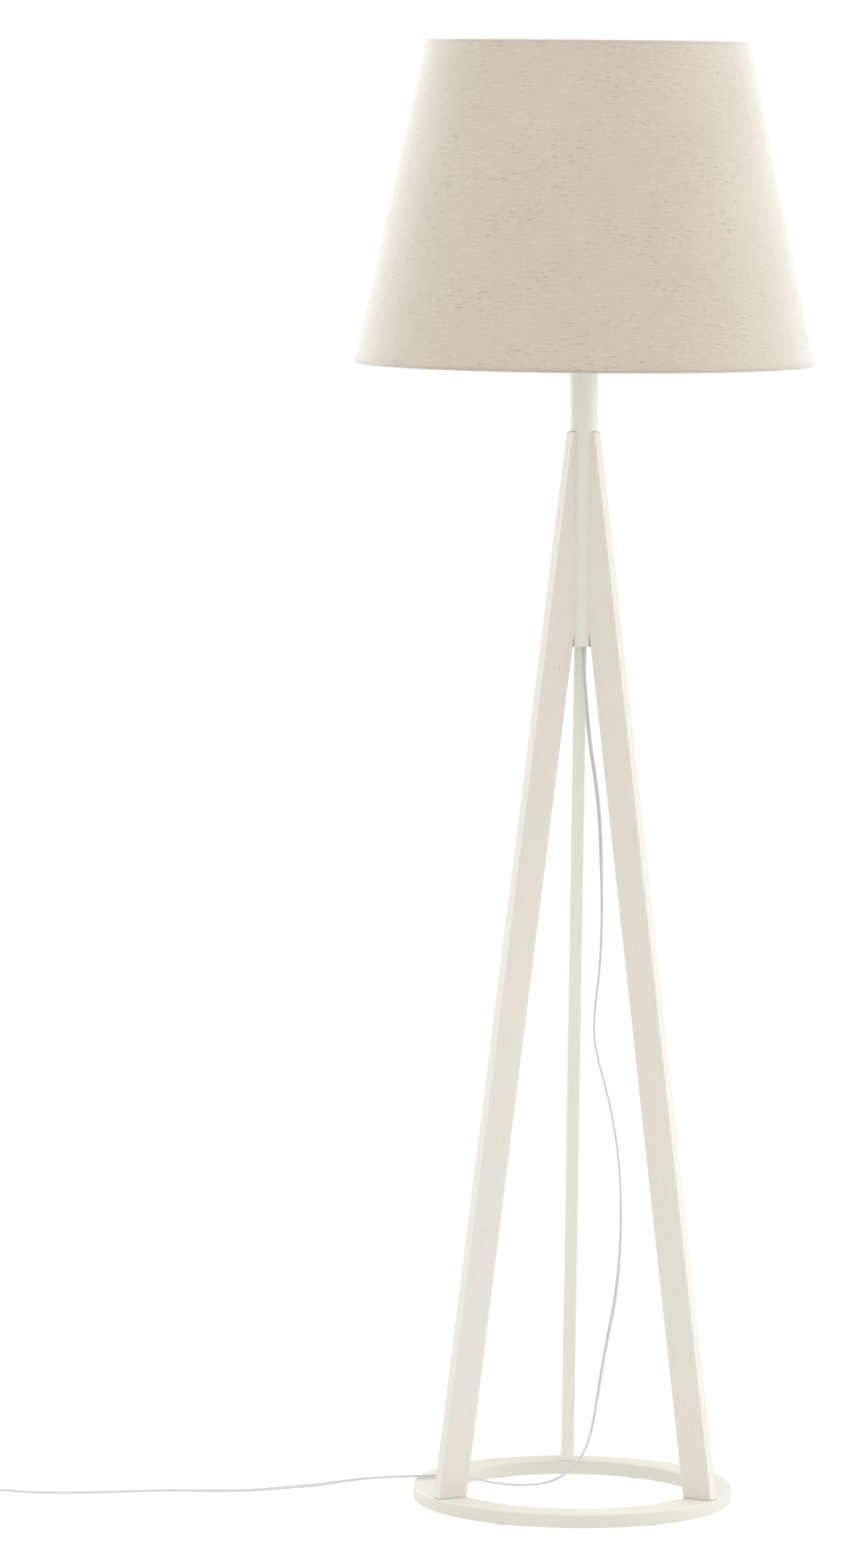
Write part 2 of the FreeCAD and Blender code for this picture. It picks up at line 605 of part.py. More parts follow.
switch_x, switch_y = SWITCH_AT
half_straight = (dims.switch_length - dims.switch_width) / 2


def oblong(name, inset, z, height):
    """A block with two round ends, along X, centred on the switch."""
    radius = dims.switch_width / 2 - inset
    middle = block(f"{name}_middle", half_straight * 2, radius * 2, height)
    place(middle, switch_x - half_straight, switch_y - radius, z)
    ends = []
    for number, shift in enumerate((half_straight, 0 - half_straight)):
        end = cylinder(f"{name}_end_{number}", radius, height)
        ends.append(place(end, switch_x + shift, switch_y, z))
    return joined(name, middle, *ends)


split = dims.switch_base_tall
switch_top = split + dims.switch_cover_tall
button_radius = dims.switch_width / 2 - dims.button_margin
relief_bore = dims.cord_dia / 2 + dims.cord_bore_gap
lead_span = dims.switch_length + 2
lead_hole = cylinder("lead_hole", relief_bore, lead_span)
place(lead_hole, switch_x - lead_span / 2, switch_y, dims.cord_height, along_x())
cover_in_tall = dims.switch_cover_tall - dims.switch_wall
case_hole = dims.case_screw_dia / 2 + dims.fit_gap
case_head_hole = dims.case_head_dia / 2 + dims.fit_gap * 2
bosses = []
boss_holes = []
switch_screws = []
posts = []
post_holes = []
for number, (way_x, way_y) in enumerate(((1, 1), (-1, -1), (1, -1), (-1, 1))):
    x = switch_x + half_straight * way_x
    y = switch_y + (dims.switch_width / 2 - dims.switch_wall - dims.boss_inset) * way_y
    head_top = dims.case_head_sink + dims.case_head_tall
    boss = cylinder(f"boss_{number}", dims.boss_dia / 2, split - dims.switch_wall)
    bosses.append(place(boss, x, y, dims.switch_wall))
    boss_holes.append(place(cylinder(f"boss_hole_{number}", case_hole, split), x, y, 0))
    boss_holes.append(place(cylinder(f"boss_sink_{number}", case_head_hole, head_top), x, y, 0))
    head = cylinder(f"case_screw_head_{number}", dims.case_head_dia / 2, dims.case_head_tall)
    stem = cylinder(f"case_screw_stem_{number}", dims.case_screw_dia / 2, split + dims.case_screw_over)
    place(head, x, y, dims.case_head_sink)
    place(stem, x, y, dims.case_head_sink)
    switch_screws.append(joined(f"switch_screw_{number}", head, stem))
    posts.append(place(cylinder(f"post_{number}", dims.boss_dia / 2, cover_in_tall), x, y, split))
    post_deep = dims.case_screw_over + dims.case_head_sink + dims.pilot_over
    post_holes.append(place(cylinder(f"post_hole_{number}", case_hole, post_deep), x, y, split))

base_shell = cut("base_shell", oblong("base_out", 0, 0, split),
                 oblong("base_in", dims.switch_wall, dims.switch_wall, split))
seat_radius = dims.spring_dia / 2 - dims.spring_wire_dia - dims.spring_seat_gap
spring_seat = cylinder("spring_seat", seat_radius, dims.spring_seat_tall)
place(spring_seat, switch_x, switch_y, dims.switch_wall)
finish("switch_base", cut(
    "switch_base", joined("base_with_bosses", base_shell, spring_seat, *bosses), lead_hole, *boss_holes))
finish("switch_screws", group("switch_screws", switch_screws))

cover_hole = cylinder("button_hole", button_radius + dims.button_gap, dims.switch_cover_tall)
place(cover_hole, switch_x, switch_y, split)
cover_body = new_body("cover_body")
cover_sketch = sketch_on(cover_body, "XY_Plane", "cover_outline")
cover_radius = dims.switch_width / 2
half_value = half_straight.value
radius_value = cover_radius.value
cover_sketch.addGeometry([
    Part.LineSegment(Vector(-half_value, -radius_value, 0), Vector(half_value, -radius_value, 0)),
    Part.ArcOfCircle(Part.Circle(Vector(half_value, 0, 0), UP, radius_value), -math.pi / 2, math.pi / 2),
    Part.LineSegment(Vector(half_value, radius_value, 0), Vector(-half_value, radius_value, 0)),
    Part.ArcOfCircle(Part.Circle(Vector(-half_value, 0, 0), UP, radius_value), math.pi / 2, math.pi * 1.5),
], False)
cover_sketch.addConstraint([
    Sketcher.Constraint("Tangent", 0, 2, 1, 1), Sketcher.Constraint("Tangent", 1, 2, 2, 1),
    Sketcher.Constraint("Tangent", 2, 2, 3, 1), Sketcher.Constraint("Tangent", 3, 2, 0, 1),
    Sketcher.Constraint("Horizontal", 0), Sketcher.Constraint("Symmetric", 1, 3, 3, 3, -1, 1),
])
for kind, items, amount in (("Radius", (1,), cover_radius), ("DistanceX", (0, 1, 0, 2), half_straight * 2)):
    measure = cover_sketch.addConstraint(Sketcher.Constraint(kind, *items, amount.value))
    cover_sketch.setExpression(f"Constraints[{measure}]", amount.text)
cover_pad = pad(cover_body, cover_sketch, "cover_block", dims.switch_cover_tall)
rounded(cover_body, cover_pad, "cover_round", dims.switch_round,
        lambda edge: is_level(edge, dims.switch_cover_tall.value))
place(cover_body, switch_x, switch_y, split)
cover_shell = cut("cover_shell", cover_body, oblong("cover_in", dims.switch_wall, split, cover_in_tall))
finish("switch_cover", cut(
    "switch_cover", joined("cover_with_posts", cover_shell, *posts), cover_hole, *post_holes))

# The button's lip stays under the cover; a cup in its underside takes the spring.
lip_top = split + cover_in_tall - dims.button_gap
button_top = lip_top + dims.button_tall
cup_top = lip_top + dims.button_lip
cup_radius = dims.spring_dia / 2 + dims.spring_cup_gap
lip_radius = button_radius + dims.button_lip_wide
lip_bottom = lip_top - dims.button_lip
button = turned("button_turning", [
    (0, cup_top), (cup_radius, cup_top), (cup_radius, lip_bottom), (lip_radius, lip_bottom),
    (lip_radius, lip_top), (button_radius, lip_top), (button_radius, button_top - 2.2),
    (button_radius - 0.7, button_top - 0.8), (button_radius - 2.4, button_top), (0, button_top - 0.6),
])
finish("switch_button", place(button, switch_x, switch_y))

spring_radius = (dims.spring_dia - dims.spring_wire_dia) / 2
spring_bottom = dims.switch_wall + dims.spring_wire_dia
spring_tall = cup_top - spring_bottom - dims.spring_wire_dia - dims.fit_gap
helix = bind(doc.addObject("Part::Helix", "spring_line"),
             Pitch=dims.spring_pitch, Height=spring_tall, Radius=spring_radius)
place(helix, switch_x, switch_y, spring_bottom)
section = bind(doc.addObject("Part::Circle", "spring_section"), Radius=dims.spring_wire_dia / 2)
place(section, switch_x + spring_radius, switch_y, spring_bottom, FreeCAD.Rotation(Vector(1, 0, 0), 90))
spring = doc.addObject("Part::Sweep", "switch_spring")
spring.Sections = [section]
spring.Spine = (helix, ["Edge1"])
spring.Solid = True
spring.Frenet = True
finish("switch_spring", spring)

contacts = []
strip_middle = dims.contact_strip_long / 2
for number, way in enumerate((1, -1)):
    x = switch_x + way * dims.contact_strip_out
    y = switch_y - dims.contact_strip_wide / 2
    strip = block(
        f"contact_strip_{number}", dims.contact_strip_long, dims.contact_strip_wide, dims.contact_strip_thick)
    foot = block(
        f"contact_foot_{number}", dims.contact_strip_thick, dims.contact_strip_wide,
        dims.contact_strip_rise + dims.contact_strip_thick / 2)
    place(strip, x - strip_middle, y, dims.switch_wall + dims.contact_strip_rise)
    place(foot, x, y, dims.switch_wall)
    contacts.append(joined(f"switch_contact_{number}", strip, foot))
finish("switch_contacts", group("switch_contacts", contacts))

relief_big = dims.relief_big_dia / 2
relief_small = dims.relief_small_dia / 2
reliefs = []
for number, way in enumerate((1, -1)):
    start = switch_x + way * dims.switch_length / 2
    turn = along_x() if way == 1 else about_z(180) * along_x()
    taper = cone(f"relief_taper_{number}", relief_big, relief_small, dims.relief_long)
    bore = cylinder(f"relief_bore_{number}", relief_bore, dims.relief_long)
    place(taper, start, switch_y, dims.cord_height, turn)
    place(bore, start, switch_y, dims.cord_height, turn)
    reliefs.append(cut(f"relief_{number}", taper, bore))
finish("switch_reliefs", group("switch_reliefs", reliefs))

# ---- plug ----------------------------------------------------------------------------------------

plug_x, plug_y = PLUG_AT
plug_middle = dims.plug_tall / 2
plug_body = new_body("plug_block")
plug_face = outline(plug_body, "XY_Plane", "plug_outline", [
    (0, (dims.plug_width - dims.plug_back_wide) / 2), (dims.plug_taper, 0), (dims.plug_length, 0),
    (dims.plug_length, dims.plug_width), (dims.plug_taper, dims.plug_width),
    (0, (dims.plug_width + dims.plug_back_wide) / 2),
])
plug_pad = pad(plug_body, plug_face, "plug_thickness", dims.plug_tall)
rounded(plug_body, plug_pad, "plug_round", dims.plug_round,
        lambda edge: edge.BoundBox.XMin < dims.plug_length.value - 0.5)
place(plug_body, plug_x - dims.plug_length / 2, plug_y - dims.plug_width / 2)
front = plug_x + dims.plug_length / 2
pins = []
pin_sleeves = []
pin_holes = []
for number, way in enumerate((1, -1)):
    y = plug_y + dims.pin_apart / 2 * way
    core_radius = dims.pin_core_dia / 2
    core_back = front - dims.pin_in_body
    core = cylinder(f"pin_core_{number}", core_radius, dims.pin_in_body + dims.pin_long)
    place(core, core_back, y, plug_middle, along_x())
    bare_long = dims.pin_long - dims.pin_sleeve_long
    bare = cylinder(f"pin_tip_{number}", dims.pin_dia / 2, bare_long)
    place(bare, front + dims.pin_sleeve_long, y, plug_middle, along_x())
    pins.append(joined(f"pin_{number}", core, bare))
    hole = cylinder(f"pin_hole_{number}", core_radius, dims.pin_in_body)
    pin_holes.append(place(hole, core_back, y, plug_middle, along_x()))
    sleeve = cone(
        f"pin_sleeve_{number}", dims.pin_sleeve_dia / 2, dims.pin_sleeve_tip_dia / 2, dims.pin_sleeve_long)
    sleeve_hole = cylinder(f"pin_sleeve_hole_{number}", core_radius, dims.pin_sleeve_long)
    place(sleeve, front, y, plug_middle, along_x())
    place(sleeve_hole, front, y, plug_middle, along_x())
    pin_sleeves.append(cut(f"pin_sleeve_cut_{number}", sleeve, sleeve_hole))
finish("plug_body", cut("plug_body", plug_body, *pin_holes))
finish("plug_pins", group("plug_pins", pins))
finish("plug_pin_sleeves", group("plug_pin_sleeves", pin_sleeves))
plug_back = plug_x - dims.plug_length / 2
plug_taper = cone("plug_taper", relief_small, relief_big, dims.relief_long)
plug_taper_bore = cylinder("plug_taper_bore", relief_bore, dims.relief_long)
place(plug_taper, plug_back - dims.relief_long, plug_y, plug_middle, along_x())
place(plug_taper_bore, plug_back - dims.relief_long, plug_y, plug_middle, along_x())
finish("plug_relief", cut("plug_relief", plug_taper, plug_taper_bore))

# ---- mains lead: plain tubes along the routes, and the coil's outer shape --------------------------


def rounded_route(points):
    """A wire of straight runs joined by tangent arcs, and its bend radii."""
    points = [Vector(*point) for point in points]
    edges = []
    radii = []
    start = points[0]
    for before, corner, after in zip(points, points[1:], points[2:]):
        arriving = (corner - before).normalize()
        leaving = (after - corner).normalize()
        half_turn = arriving.getAngle(leaving) / 2
        back_off = 0.45 * min((corner - before).Length, (after - corner).Length)
        first = corner - arriving * back_off
        last = corner + leaving * back_off
        inwards = (leaving - arriving).normalize()
        radius = back_off / math.tan(half_turn)
        middle = corner + inwards * (radius / math.cos(half_turn) - radius)
        edges.append(Part.LineSegment(start, first).toShape())
        edges.append(Part.Arc(first, middle, last).toShape())
        radii.append(radius)
        start = last
    edges.append(Part.LineSegment(start, points[-1]).toShape())
    return Part.Wire(edges), radii


def cord(label, points):
    """A round cord along a route."""
    wire, radii = rounded_route(points)
    direction = Vector(*points[1]) - Vector(*points[0])
    radius = dims.cord_dia.value / 2
    section = Part.Wire([Part.makeCircle(radius, Vector(*points[0]), direction)])
    shape = wire.makePipeShell([section], True, False)
    expected = math.pi * radius ** 2 * wire.Length
    print(f"{label}: {wire.Length:.1f} mm long, smallest radius {min(radii):.1f} mm,",
          f"volume {shape.Volume / expected:.4f} of section times length")
    print("   radii", " ".join(f"{value:.0f}" for value in radii))
    item = doc.addObject("Part::Feature", label)
    item.Shape = shape
    finish(label, item)


cord("pole_cord", CORD_IN_POLE)
cord("cord_lead", LEAD_ROUTE)
cord("cord_tail", TAIL_ROUTE)
cord("cord_end", END_ROUTE)

coil_x, coil_y = COIL_AT
coil_in = dims.coil_inner_dia / 2
coil_out = dims.coil_outer_dia / 2
coil_low = dims.tie_thick
coil_high = dims.tie_thick + dims.coil_tall
ease = dims.coil_ease
coil = turned("coil_turning", [
    (coil_in + ease, coil_low), (coil_out - ease, coil_low), (coil_out, coil_low + ease),
    (coil_out, coil_high - ease), (coil_out - ease, coil_high), (coil_in + ease, coil_high),
    (coil_in, coil_high - ease), (coil_in, coil_low + ease),
])
finish("cord_coil", place(coil, coil_x, coil_y))
tie_long = coil_out - coil_in + dims.tie_thick * 2
tie_block = block("tie_block", tie_long, dims.tie_width, coil_high + dims.tie_thick)
place(tie_block, coil_x - coil_out - dims.tie_thick, coil_y - dims.tie_width / 2, 0)
coil_space = tube("coil_space", coil_out, coil_in, dims.coil_tall, coil_x, coil_y, coil_low)
finish("cord_tie", cut("cord_tie", tie_block, coil_space))

# ---- check and write -------------------------------------------------------------------------------

doc.recompute()
faults = [item.Name for item in doc.Objects if {"Invalid", "Error"} & set(item.State)]
for label, item in finished.items():
    if item.Shape.isNull() or not item.Shape.isValid() or not item.Shape.Solids:
        faults.append(label)
if faults:
    raise SystemExit(f"these did not build: {', '.join(faults)}")

os.makedirs("parts", exist_ok=True)
for label, item in finished.items():
    item.Shape.exportStep(f"parts/{label}.step")
print(len(finished), "sub-parts written")
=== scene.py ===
import math

import bmesh
import bpy
from mathutils import Matrix, Vector


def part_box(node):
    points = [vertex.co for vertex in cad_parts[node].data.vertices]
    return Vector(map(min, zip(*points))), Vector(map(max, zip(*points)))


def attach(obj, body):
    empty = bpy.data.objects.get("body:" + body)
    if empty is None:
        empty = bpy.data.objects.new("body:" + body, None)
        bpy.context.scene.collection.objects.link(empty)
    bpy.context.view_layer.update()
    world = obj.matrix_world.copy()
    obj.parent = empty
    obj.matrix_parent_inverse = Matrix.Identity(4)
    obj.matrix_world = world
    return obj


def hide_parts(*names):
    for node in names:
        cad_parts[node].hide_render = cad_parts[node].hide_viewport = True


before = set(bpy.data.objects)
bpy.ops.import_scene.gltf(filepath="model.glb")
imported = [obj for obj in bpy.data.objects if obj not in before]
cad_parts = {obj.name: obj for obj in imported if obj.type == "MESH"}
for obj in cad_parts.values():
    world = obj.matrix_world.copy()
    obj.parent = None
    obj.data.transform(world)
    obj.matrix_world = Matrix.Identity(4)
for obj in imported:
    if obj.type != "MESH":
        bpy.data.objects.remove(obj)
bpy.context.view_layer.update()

# ---- View -------------------------------------------------------------------------------------
# A long lens at about the height of the shade's top rim, a little left of the lamp's front, so that
# the lamp stands right of the middle. It is rolled half a degree, as the lamp leans a hair.

camera_data = bpy.data.cameras.new("camera")
camera = bpy.data.objects.new("camera", camera_data)
bpy.context.scene.collection.objects.link(camera)
bpy.context.scene.camera = camera
camera_data.lens = 171.94
camera_data.clip_end = 60
camera.location = (-0.3125, -8.1356, 1.564)
aim = Vector((-0.1661, 0, 0.7908)) - camera.location
roll = Matrix.Rotation(math.radians(0.50), 4, "Z").to_quaternion()
camera.rotation_euler = (aim.to_track_quat("-Z", "Y") @ roll).to_euler()

# ---- Mains lead -------------------------------------------------------------------------------
# A flat two-core lead in smooth white vinyl, with a groove along the middle, that turns on itself as
# it hangs. It drops out of the pole, is laid over the base ring and runs off to the left, through
# the foot switch, to a tied coil and the plug. On the ring it lies 1 to 4 mm lower than the CAD tube.

LEAD_WIDTH = 0.0045
CORE_RADIUS = 0.00115
POLE_MOUTH = (0.0026, 0, 0.943)
COIL_AT = Vector((-0.822, -0.0185, 0))
COIL_START_RADIUS = 0.0309
COIL_INSIDE_RADIUS = 0.0215
COIL_SPACING = 0.0047
COIL_INWARDS = 2.0
COIL_CROSSING = 0.5
COIL_OUTWARDS = 2.93
COIL_LOW = 0.0031
COIL_CLIMB = 0.0046

lead_route = [
    POLE_MOUTH, (0.0026, 0, 0.919), (0.0056, 0.002, 0.889), (0.0102, 0.005, 0.840),
    (0.0176, 0.0085, 0.797), (0.0232, 0.012, 0.750), (0.0256, 0.0175, 0.694), (0.027, 0.0225, 0.641),
    (0.0254, 0.028, 0.584), (0.0202, 0.032, 0.541), (0.0196, 0.0345, 0.504), (0.0312, 0.038, 0.462),
    (0.041, 0.042, 0.424), (0.0494, 0.047, 0.374), (0.0528, 0.052, 0.322), (0.0526, 0.0565, 0.268),
    (0.0482, 0.061, 0.215), (0.0402, 0.0645, 0.172), (0.0328, 0.068, 0.126), (0.0272, 0.072, 0.084),
    (0.0208, 0.076, 0.050), (0.0096, 0.079, 0.027), (-0.0064, 0.0805, 0.0116), (-0.0248, 0.079, 0.0034),
    (-0.044, 0.0726, 0.0023), (-0.066, 0.0712, 0.0025), (-0.088, 0.0694, 0.0056), (-0.105, 0.056, 0.0126),
    (-0.125, 0.0374, 0.0200), (-0.177, 0.030, 0.0196), (-0.207, 0.036, 0.0172), (-0.242, 0.0576, 0.0102),
    (-0.276, 0.059, 0.004), (-0.314, 0.051, 0.0023), (-0.352, 0.0315, 0.0023), (-0.400, 0.028, 0.0023),
    (-0.452, 0.0314, 0.0023), (-0.508, 0.0184, 0.0023), (-0.560, 0.0124, 0.0023), (-0.602, 0.012, 0.0029),
    (-0.630, 0.010, 0.006), (-0.655, 0.010, 0.006),
]


def coil_turns(turns=4.5, per_turn=14):
    """Points of a flat coil: wound inwards on the floor, then outwards again on top of itself.

    COIL_INWARDS and COIL_OUTWARDS are the turns at which it stops winding inwards and starts outwards.
    COIL_CROSSING is the part of a turn in which it climbs on top of itself.
    """
    points = []
    for step in range(1, round(turns * per_turn) + 1):
        turn = step / per_turn
        angle = math.radians(90 + 360 * turn)
        climb = min(max((turn - COIL_INWARDS) / COIL_CROSSING, 0), 1)
        if turn < COIL_INWARDS + COIL_CROSSING / 2:
            radius = COIL_START_RADIUS - COIL_SPACING * min(turn, COIL_INWARDS)
        else:
            radius = COIL_INSIDE_RADIUS + COIL_SPACING * max(turn - COIL_OUTWARDS, 0)
        x = COIL_AT.x + radius * math.cos(angle)
        y = COIL_AT.y + radius * math.sin(angle)
        points.append((x, y, COIL_LOW + COIL_CLIMB * climb))
    return points


tail_route = [
    (-0.766, 0.010, 0.006), (-0.783, 0.010, 0.006), (-0.798, 0.0116, 0.004), (-0.813, 0.0124, 0.0031),
]
tail_route += coil_turns()
tail_route += [(-0.801, -0.0475, 0.0078), (-0.7895, -0.0468, 0.00685), (-0.773, -0.0468, 0.00685)]


class Number:
    """A shader number that changes over a surface; arithmetic on it adds the Math nodes."""

    def __init__(self, finish, socket):
        self.finish = finish
        self.socket = socket

    def math(self, operation, *values):
        node = self.finish.node("ShaderNodeMath", {"operation": operation}, dict(enumerate(values)))
        return Number(self.finish, node.outputs[0])

    def __add__(self, other):
        return self.math("ADD", self, other)

    def __sub__(self, other):
        return self.math("SUBTRACT", self, other)

    def __rsub__(self, other):
        return self.math("SUBTRACT", other, self)

    def __mul__(self, other):
        return self.math("MULTIPLY", self, other)

    __radd__ = __add__
    __rmul__ = __mul__

    def sine(self):
        return self.math("SINE", self)


class Finish:
    """A material: its Principled shader, and one way to add any other node."""

    def __init__(self, name, **sockets):
        self.material = bpy.data.materials.new(name)
        self.material.use_nodes = True
        self.tree = self.material.node_tree
        self.shader = self.tree.nodes["Principled BSDF"]
        for socket, value in sockets.items():
            self.feed(self.shader.inputs[socket.replace("_", " ")], value)

    def feed(self, socket, value):
        if isinstance(value, Number):
            value = value.socket
        if isinstance(value, bpy.types.NodeSocket):
            self.tree.links.new(value, socket)
        elif isinstance(value, (tuple, list)) and len(value) == 3 and socket.type == "RGBA":
            socket.default_value = (*value, 1)
        else:
            socket.default_value = value

    def node(self, kind, settings=None, sockets=None):
        node = self.tree.nodes.new(kind)
        for setting, value in (settings or {}).items():
            setattr(node, setting, value)
        for socket, value in (sockets or {}).items():
            self.feed(node.inputs[socket], value)
        return node

    def number(self, node, output=0):
        return Number(self, node.outputs[output])

    def place(self, scale=(1, 1, 1), turns=(), source="Object"):
        """Where a pattern is read: object coordinates or the piece's own map, turned, then scaled."""
        where = self.node("ShaderNodeTexCoord").outputs[source]
        for turn in turns:
            turned_by = self.node("ShaderNodeMapping", {}, {"Vector": where, "Rotation": turn})
            where = turned_by.outputs[0]
        return self.node("ShaderNodeMapping", {}, {"Vector": where, "Scale": scale}).outputs[0]

    def noise(self, where, scale=1.0, detail=2.0, roughness=0.5):
        return self.number(self.node("ShaderNodeTexNoise", {}, {
            "Vector": where, "Scale": scale, "Detail": detail, "Roughness": roughness}))

    def between(self, number, low, high):
        """Stretches a number so that low becomes 0 and high becomes 1, and clamps it."""
        return self.number(self.node("ShaderNodeMapRange", {}, {
            "Value": number, "From Min": low, "From Max": high}))

    def mix(self, share, first, second):
        node = self.node("ShaderNodeMix", {"data_type": "RGBA"}, {0: share, 6: first, 7: second})
        return node.outputs[2]

    def bump(self, height, distance, strength):
        node = self.node("ShaderNodeBump", {}, {
            "Height": height, "Distance": distance, "Strength": strength})
        self.feed(self.shader.inputs["Normal"], node.outputs[0])

    def colour(self, value):
        self.feed(self.shader.inputs["Base Color"], value)


def vinyl(name, colour, roughness=0.42):
    """Smooth soft vinyl: faint flow marks and a little dust in the colour."""
    finish = Finish(name, Roughness=roughness)
    where = finish.place()
    cloud = finish.between(finish.noise(where, 60, 3), 0.35, 0.65)
    darker = tuple(value * 0.93 for value in colour)
    finish.colour(finish.mix(cloud, darker, colour))
    finish.bump(finish.noise(where, 900, 2), 0.00008, 0.4)
    finish.feed(finish.shader.inputs["Roughness"], cloud * 0.1 + (roughness - 0.05))
    return finish.material


LEAD_VINYL = vinyl("lead vinyl", (0.62, 0.62, 0.62))


def twin_section():
    """The lead's section: two round cores side by side that run into each other."""
    apart = LEAD_WIDTH / 2 - CORE_RADIUS
    sweep = math.acos(-apart / CORE_RADIUS)
    steps = 12
    outline = []
    for side, facing in ((1, 0), (-1, math.pi)):
        for step in range(steps):
            angle = sweep * (2 * step / steps - 1) + facing
            x = side * apart + CORE_RADIUS * math.cos(angle)
            outline.append((x, CORE_RADIUS * math.sin(angle)))
    curve = bpy.data.curves.new("lead_section", "CURVE")
    spline = curve.splines.new("POLY")
    spline.points.add(len(outline) - 1)
    for point, (x, y) in zip(spline.points, outline):
        point.co = (x, y, 0, 1)
    spline.use_cyclic_u = True
    return bpy.data.objects.new("lead_section", curve)


TWIN_SECTION = twin_section()


def lead_curve(name, route, turns, twist_mode="MINIMUM"):
    """A cord as one smooth spline; turns gives, by point number, how far it has turned on itself."""
    curve = bpy.data.curves.new(name, "CURVE")
    curve.dimensions = "3D"
    curve.twist_mode = twist_mode
    spline = curve.splines.new("NURBS")
    spline.points.add(len(route) - 1)
    marks = sorted(turns)
    for number, (point, place) in enumerate(zip(spline.points, route)):
        point.co = (*place, 1)
        before = max(mark for mark in marks if mark <= number)
        after = min((mark for mark in marks if mark >= number), default=before)
        share = (number - before) / max(after - before, 1)
        point.tilt = math.radians(turns[before] + (turns[after] - turns[before]) * share)
    spline.order_u = 3
    spline.use_endpoint_u = True
    curve.resolution_u = 8
    curve.bevel_mode = "OBJECT"
    curve.bevel_object = TWIN_SECTION
    curve.use_fill_caps = True
    curve.materials.append(LEAD_VINYL)
    piece = bpy.data.objects.new(name, curve)
    bpy.context.scene.collection.objects.link(piece)
    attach(piece, "lamp")
    return piece


LEAD_TURNS = {
    0: 0, 5: 5, 6: 62, 7: 74, 10: 90, 14: 90, 15: 74, 16: 48, 17: 60, 19: 72, 21: 100, 30: 100,
    31: 92, 32: 68, 33: 74, 35: 90, 41: 90,
}
lead = lead_curve("lead_to_switch", lead_route, LEAD_TURNS)
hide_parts("cord_lead")
tail_end = len(tail_route) - 1
tail_turns = {0: 0, 3: 90, tail_end - 3: 90, tail_end: 0}
tail = lead_curve("lead_to_plug", tail_route, tail_turns, "Z_UP")
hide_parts("cord_tail", "cord_coil", "cord_end")

# The tie is a soft flat strap, once round the coil.

TIE_WIDTH = 0.008
TIE_THICK = 0.0008
STRAP_ROUND = 0.0035
SHARP_EDGE = math.radians(35)


def link_mesh(name, points, faces, material=None):
    """A mesh object from points and faces, smooth except at its sharp edges."""
    mesh = bpy.data.meshes.new(name)
    mesh.from_pydata([tuple(point) for point in points], [], faces)
    tidy = bmesh.new()
    tidy.from_mesh(mesh)
    bmesh.ops.remove_doubles(tidy, verts=tidy.verts, dist=1e-7)
    bmesh.ops.recalc_face_normals(tidy, faces=tidy.faces)
    tidy.to_mesh(mesh)
    tidy.free()
    mesh.shade_smooth()
    mesh.set_sharp_from_angle(angle=SHARP_EDGE)
    if material:
        mesh.materials.append(material)
    piece = bpy.data.objects.new(name, mesh)
    bpy.context.scene.collection.objects.link(piece)
    return piece


def rounded_loop(corners, round_by, steps=5):
    """A closed 2-D outline whose corners are arcs; a corner may carry its own radius as a third value."""
    loop = []
    count = len(corners)
    for index in range(count):
        before, corner, after = (
            Vector(corners[(index + shift) % count][:2]) for shift in (-1, 0, 1))
        radius = corners[index][2] if len(corners[index]) > 2 else round_by
        arrive = (before - corner).normalized()
        leave = (after - corner).normalized()
        half = arrive.angle(leave) / 2
        if radius <= 0 or half > math.pi / 2 - 0.01:
            loop.append(tuple(corner))
            continue
        room = min((before - corner).length, (after - corner).length) * 0.49
        back = min(radius / math.tan(half), room)
        radius = back * math.tan(half)
        centre = corner + (arrive + leave).normalized() * (radius / math.sin(half))
        first = corner + arrive * back - centre
        last = corner + leave * back - centre
        sweep = first.angle_signed(last)
        for step in range(steps + 1):
            turn = -sweep * step / steps
            spun = Vector((
                first.x * math.cos(turn) - first.y * math.sin(turn),
                first.x * math.sin(turn) + first.y * math.cos(turn)))
            loop.append(tuple(centre + spun))
    return loop


def strap(name, loop, width, thick, material):
    """A flat band that follows a loop in the XZ plane, of a width along Y."""
    points = []
    count = len(loop)
    for index in range(count):
        before, here, after = (Vector(loop[(index + shift) % count]) for shift in (-1, 0, 1))
        along = (after - before).normalized()
        outwards = Vector((along.y, -along.x))
        inner = here - outwards * thick
        for x, z in (here, inner):
            points += [(x, -width / 2, z), (x, width / 2, z)]
    faces = []
    for index in range(count):
        a, b = 4 * index, 4 * ((index + 1) % count)
        faces += [
            (a, b, b + 1, a + 1), (a + 2, a + 3, b + 3, b + 2),
            (a, a + 2, b + 2, b), (a + 1, b + 1, b + 3, a + 3),
        ]
    return link_mesh(name, points, faces, material)


def move(piece, by):
    """Moves a mesh while its object stays at the origin."""
    piece.data.transform(Matrix.Translation(by))


def oblong(left, low, right, high):
    """The four corners of an upright rectangle."""
    return [(left, low), (right, low), (right, high), (left, high)]


tie_low, tie_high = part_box("cord_tie")
strap_loop = rounded_loop(oblong(tie_low.x, tie_low.z, tie_high.x, tie_high.z), STRAP_ROUND)
tie_vinyl = vinyl("tie vinyl", (0.70, 0.70, 0.70), 0.5)
tie = strap("coil_tie", strap_loop, TIE_WIDTH, TIE_THICK, tie_vinyl)
move(tie, (0, (tie_low.y + tie_high.y) / 2, 0))
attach(tie, "lamp")
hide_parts("cord_tie")

# ---- Base ring --------------------------------------------------------------------------------
# A flat ring sawn from board, its edges eased, stained off-white so that the grain just shows.
# Six felt pads lift it off the floor, and a countersunk screw goes up through it into each leg.

RING_INNER = 0.139
RING_EASE = 0.0016
SEAM_SHADOW_TALL = 0.0012
ALONG_X = (0, math.radians(90), 0)


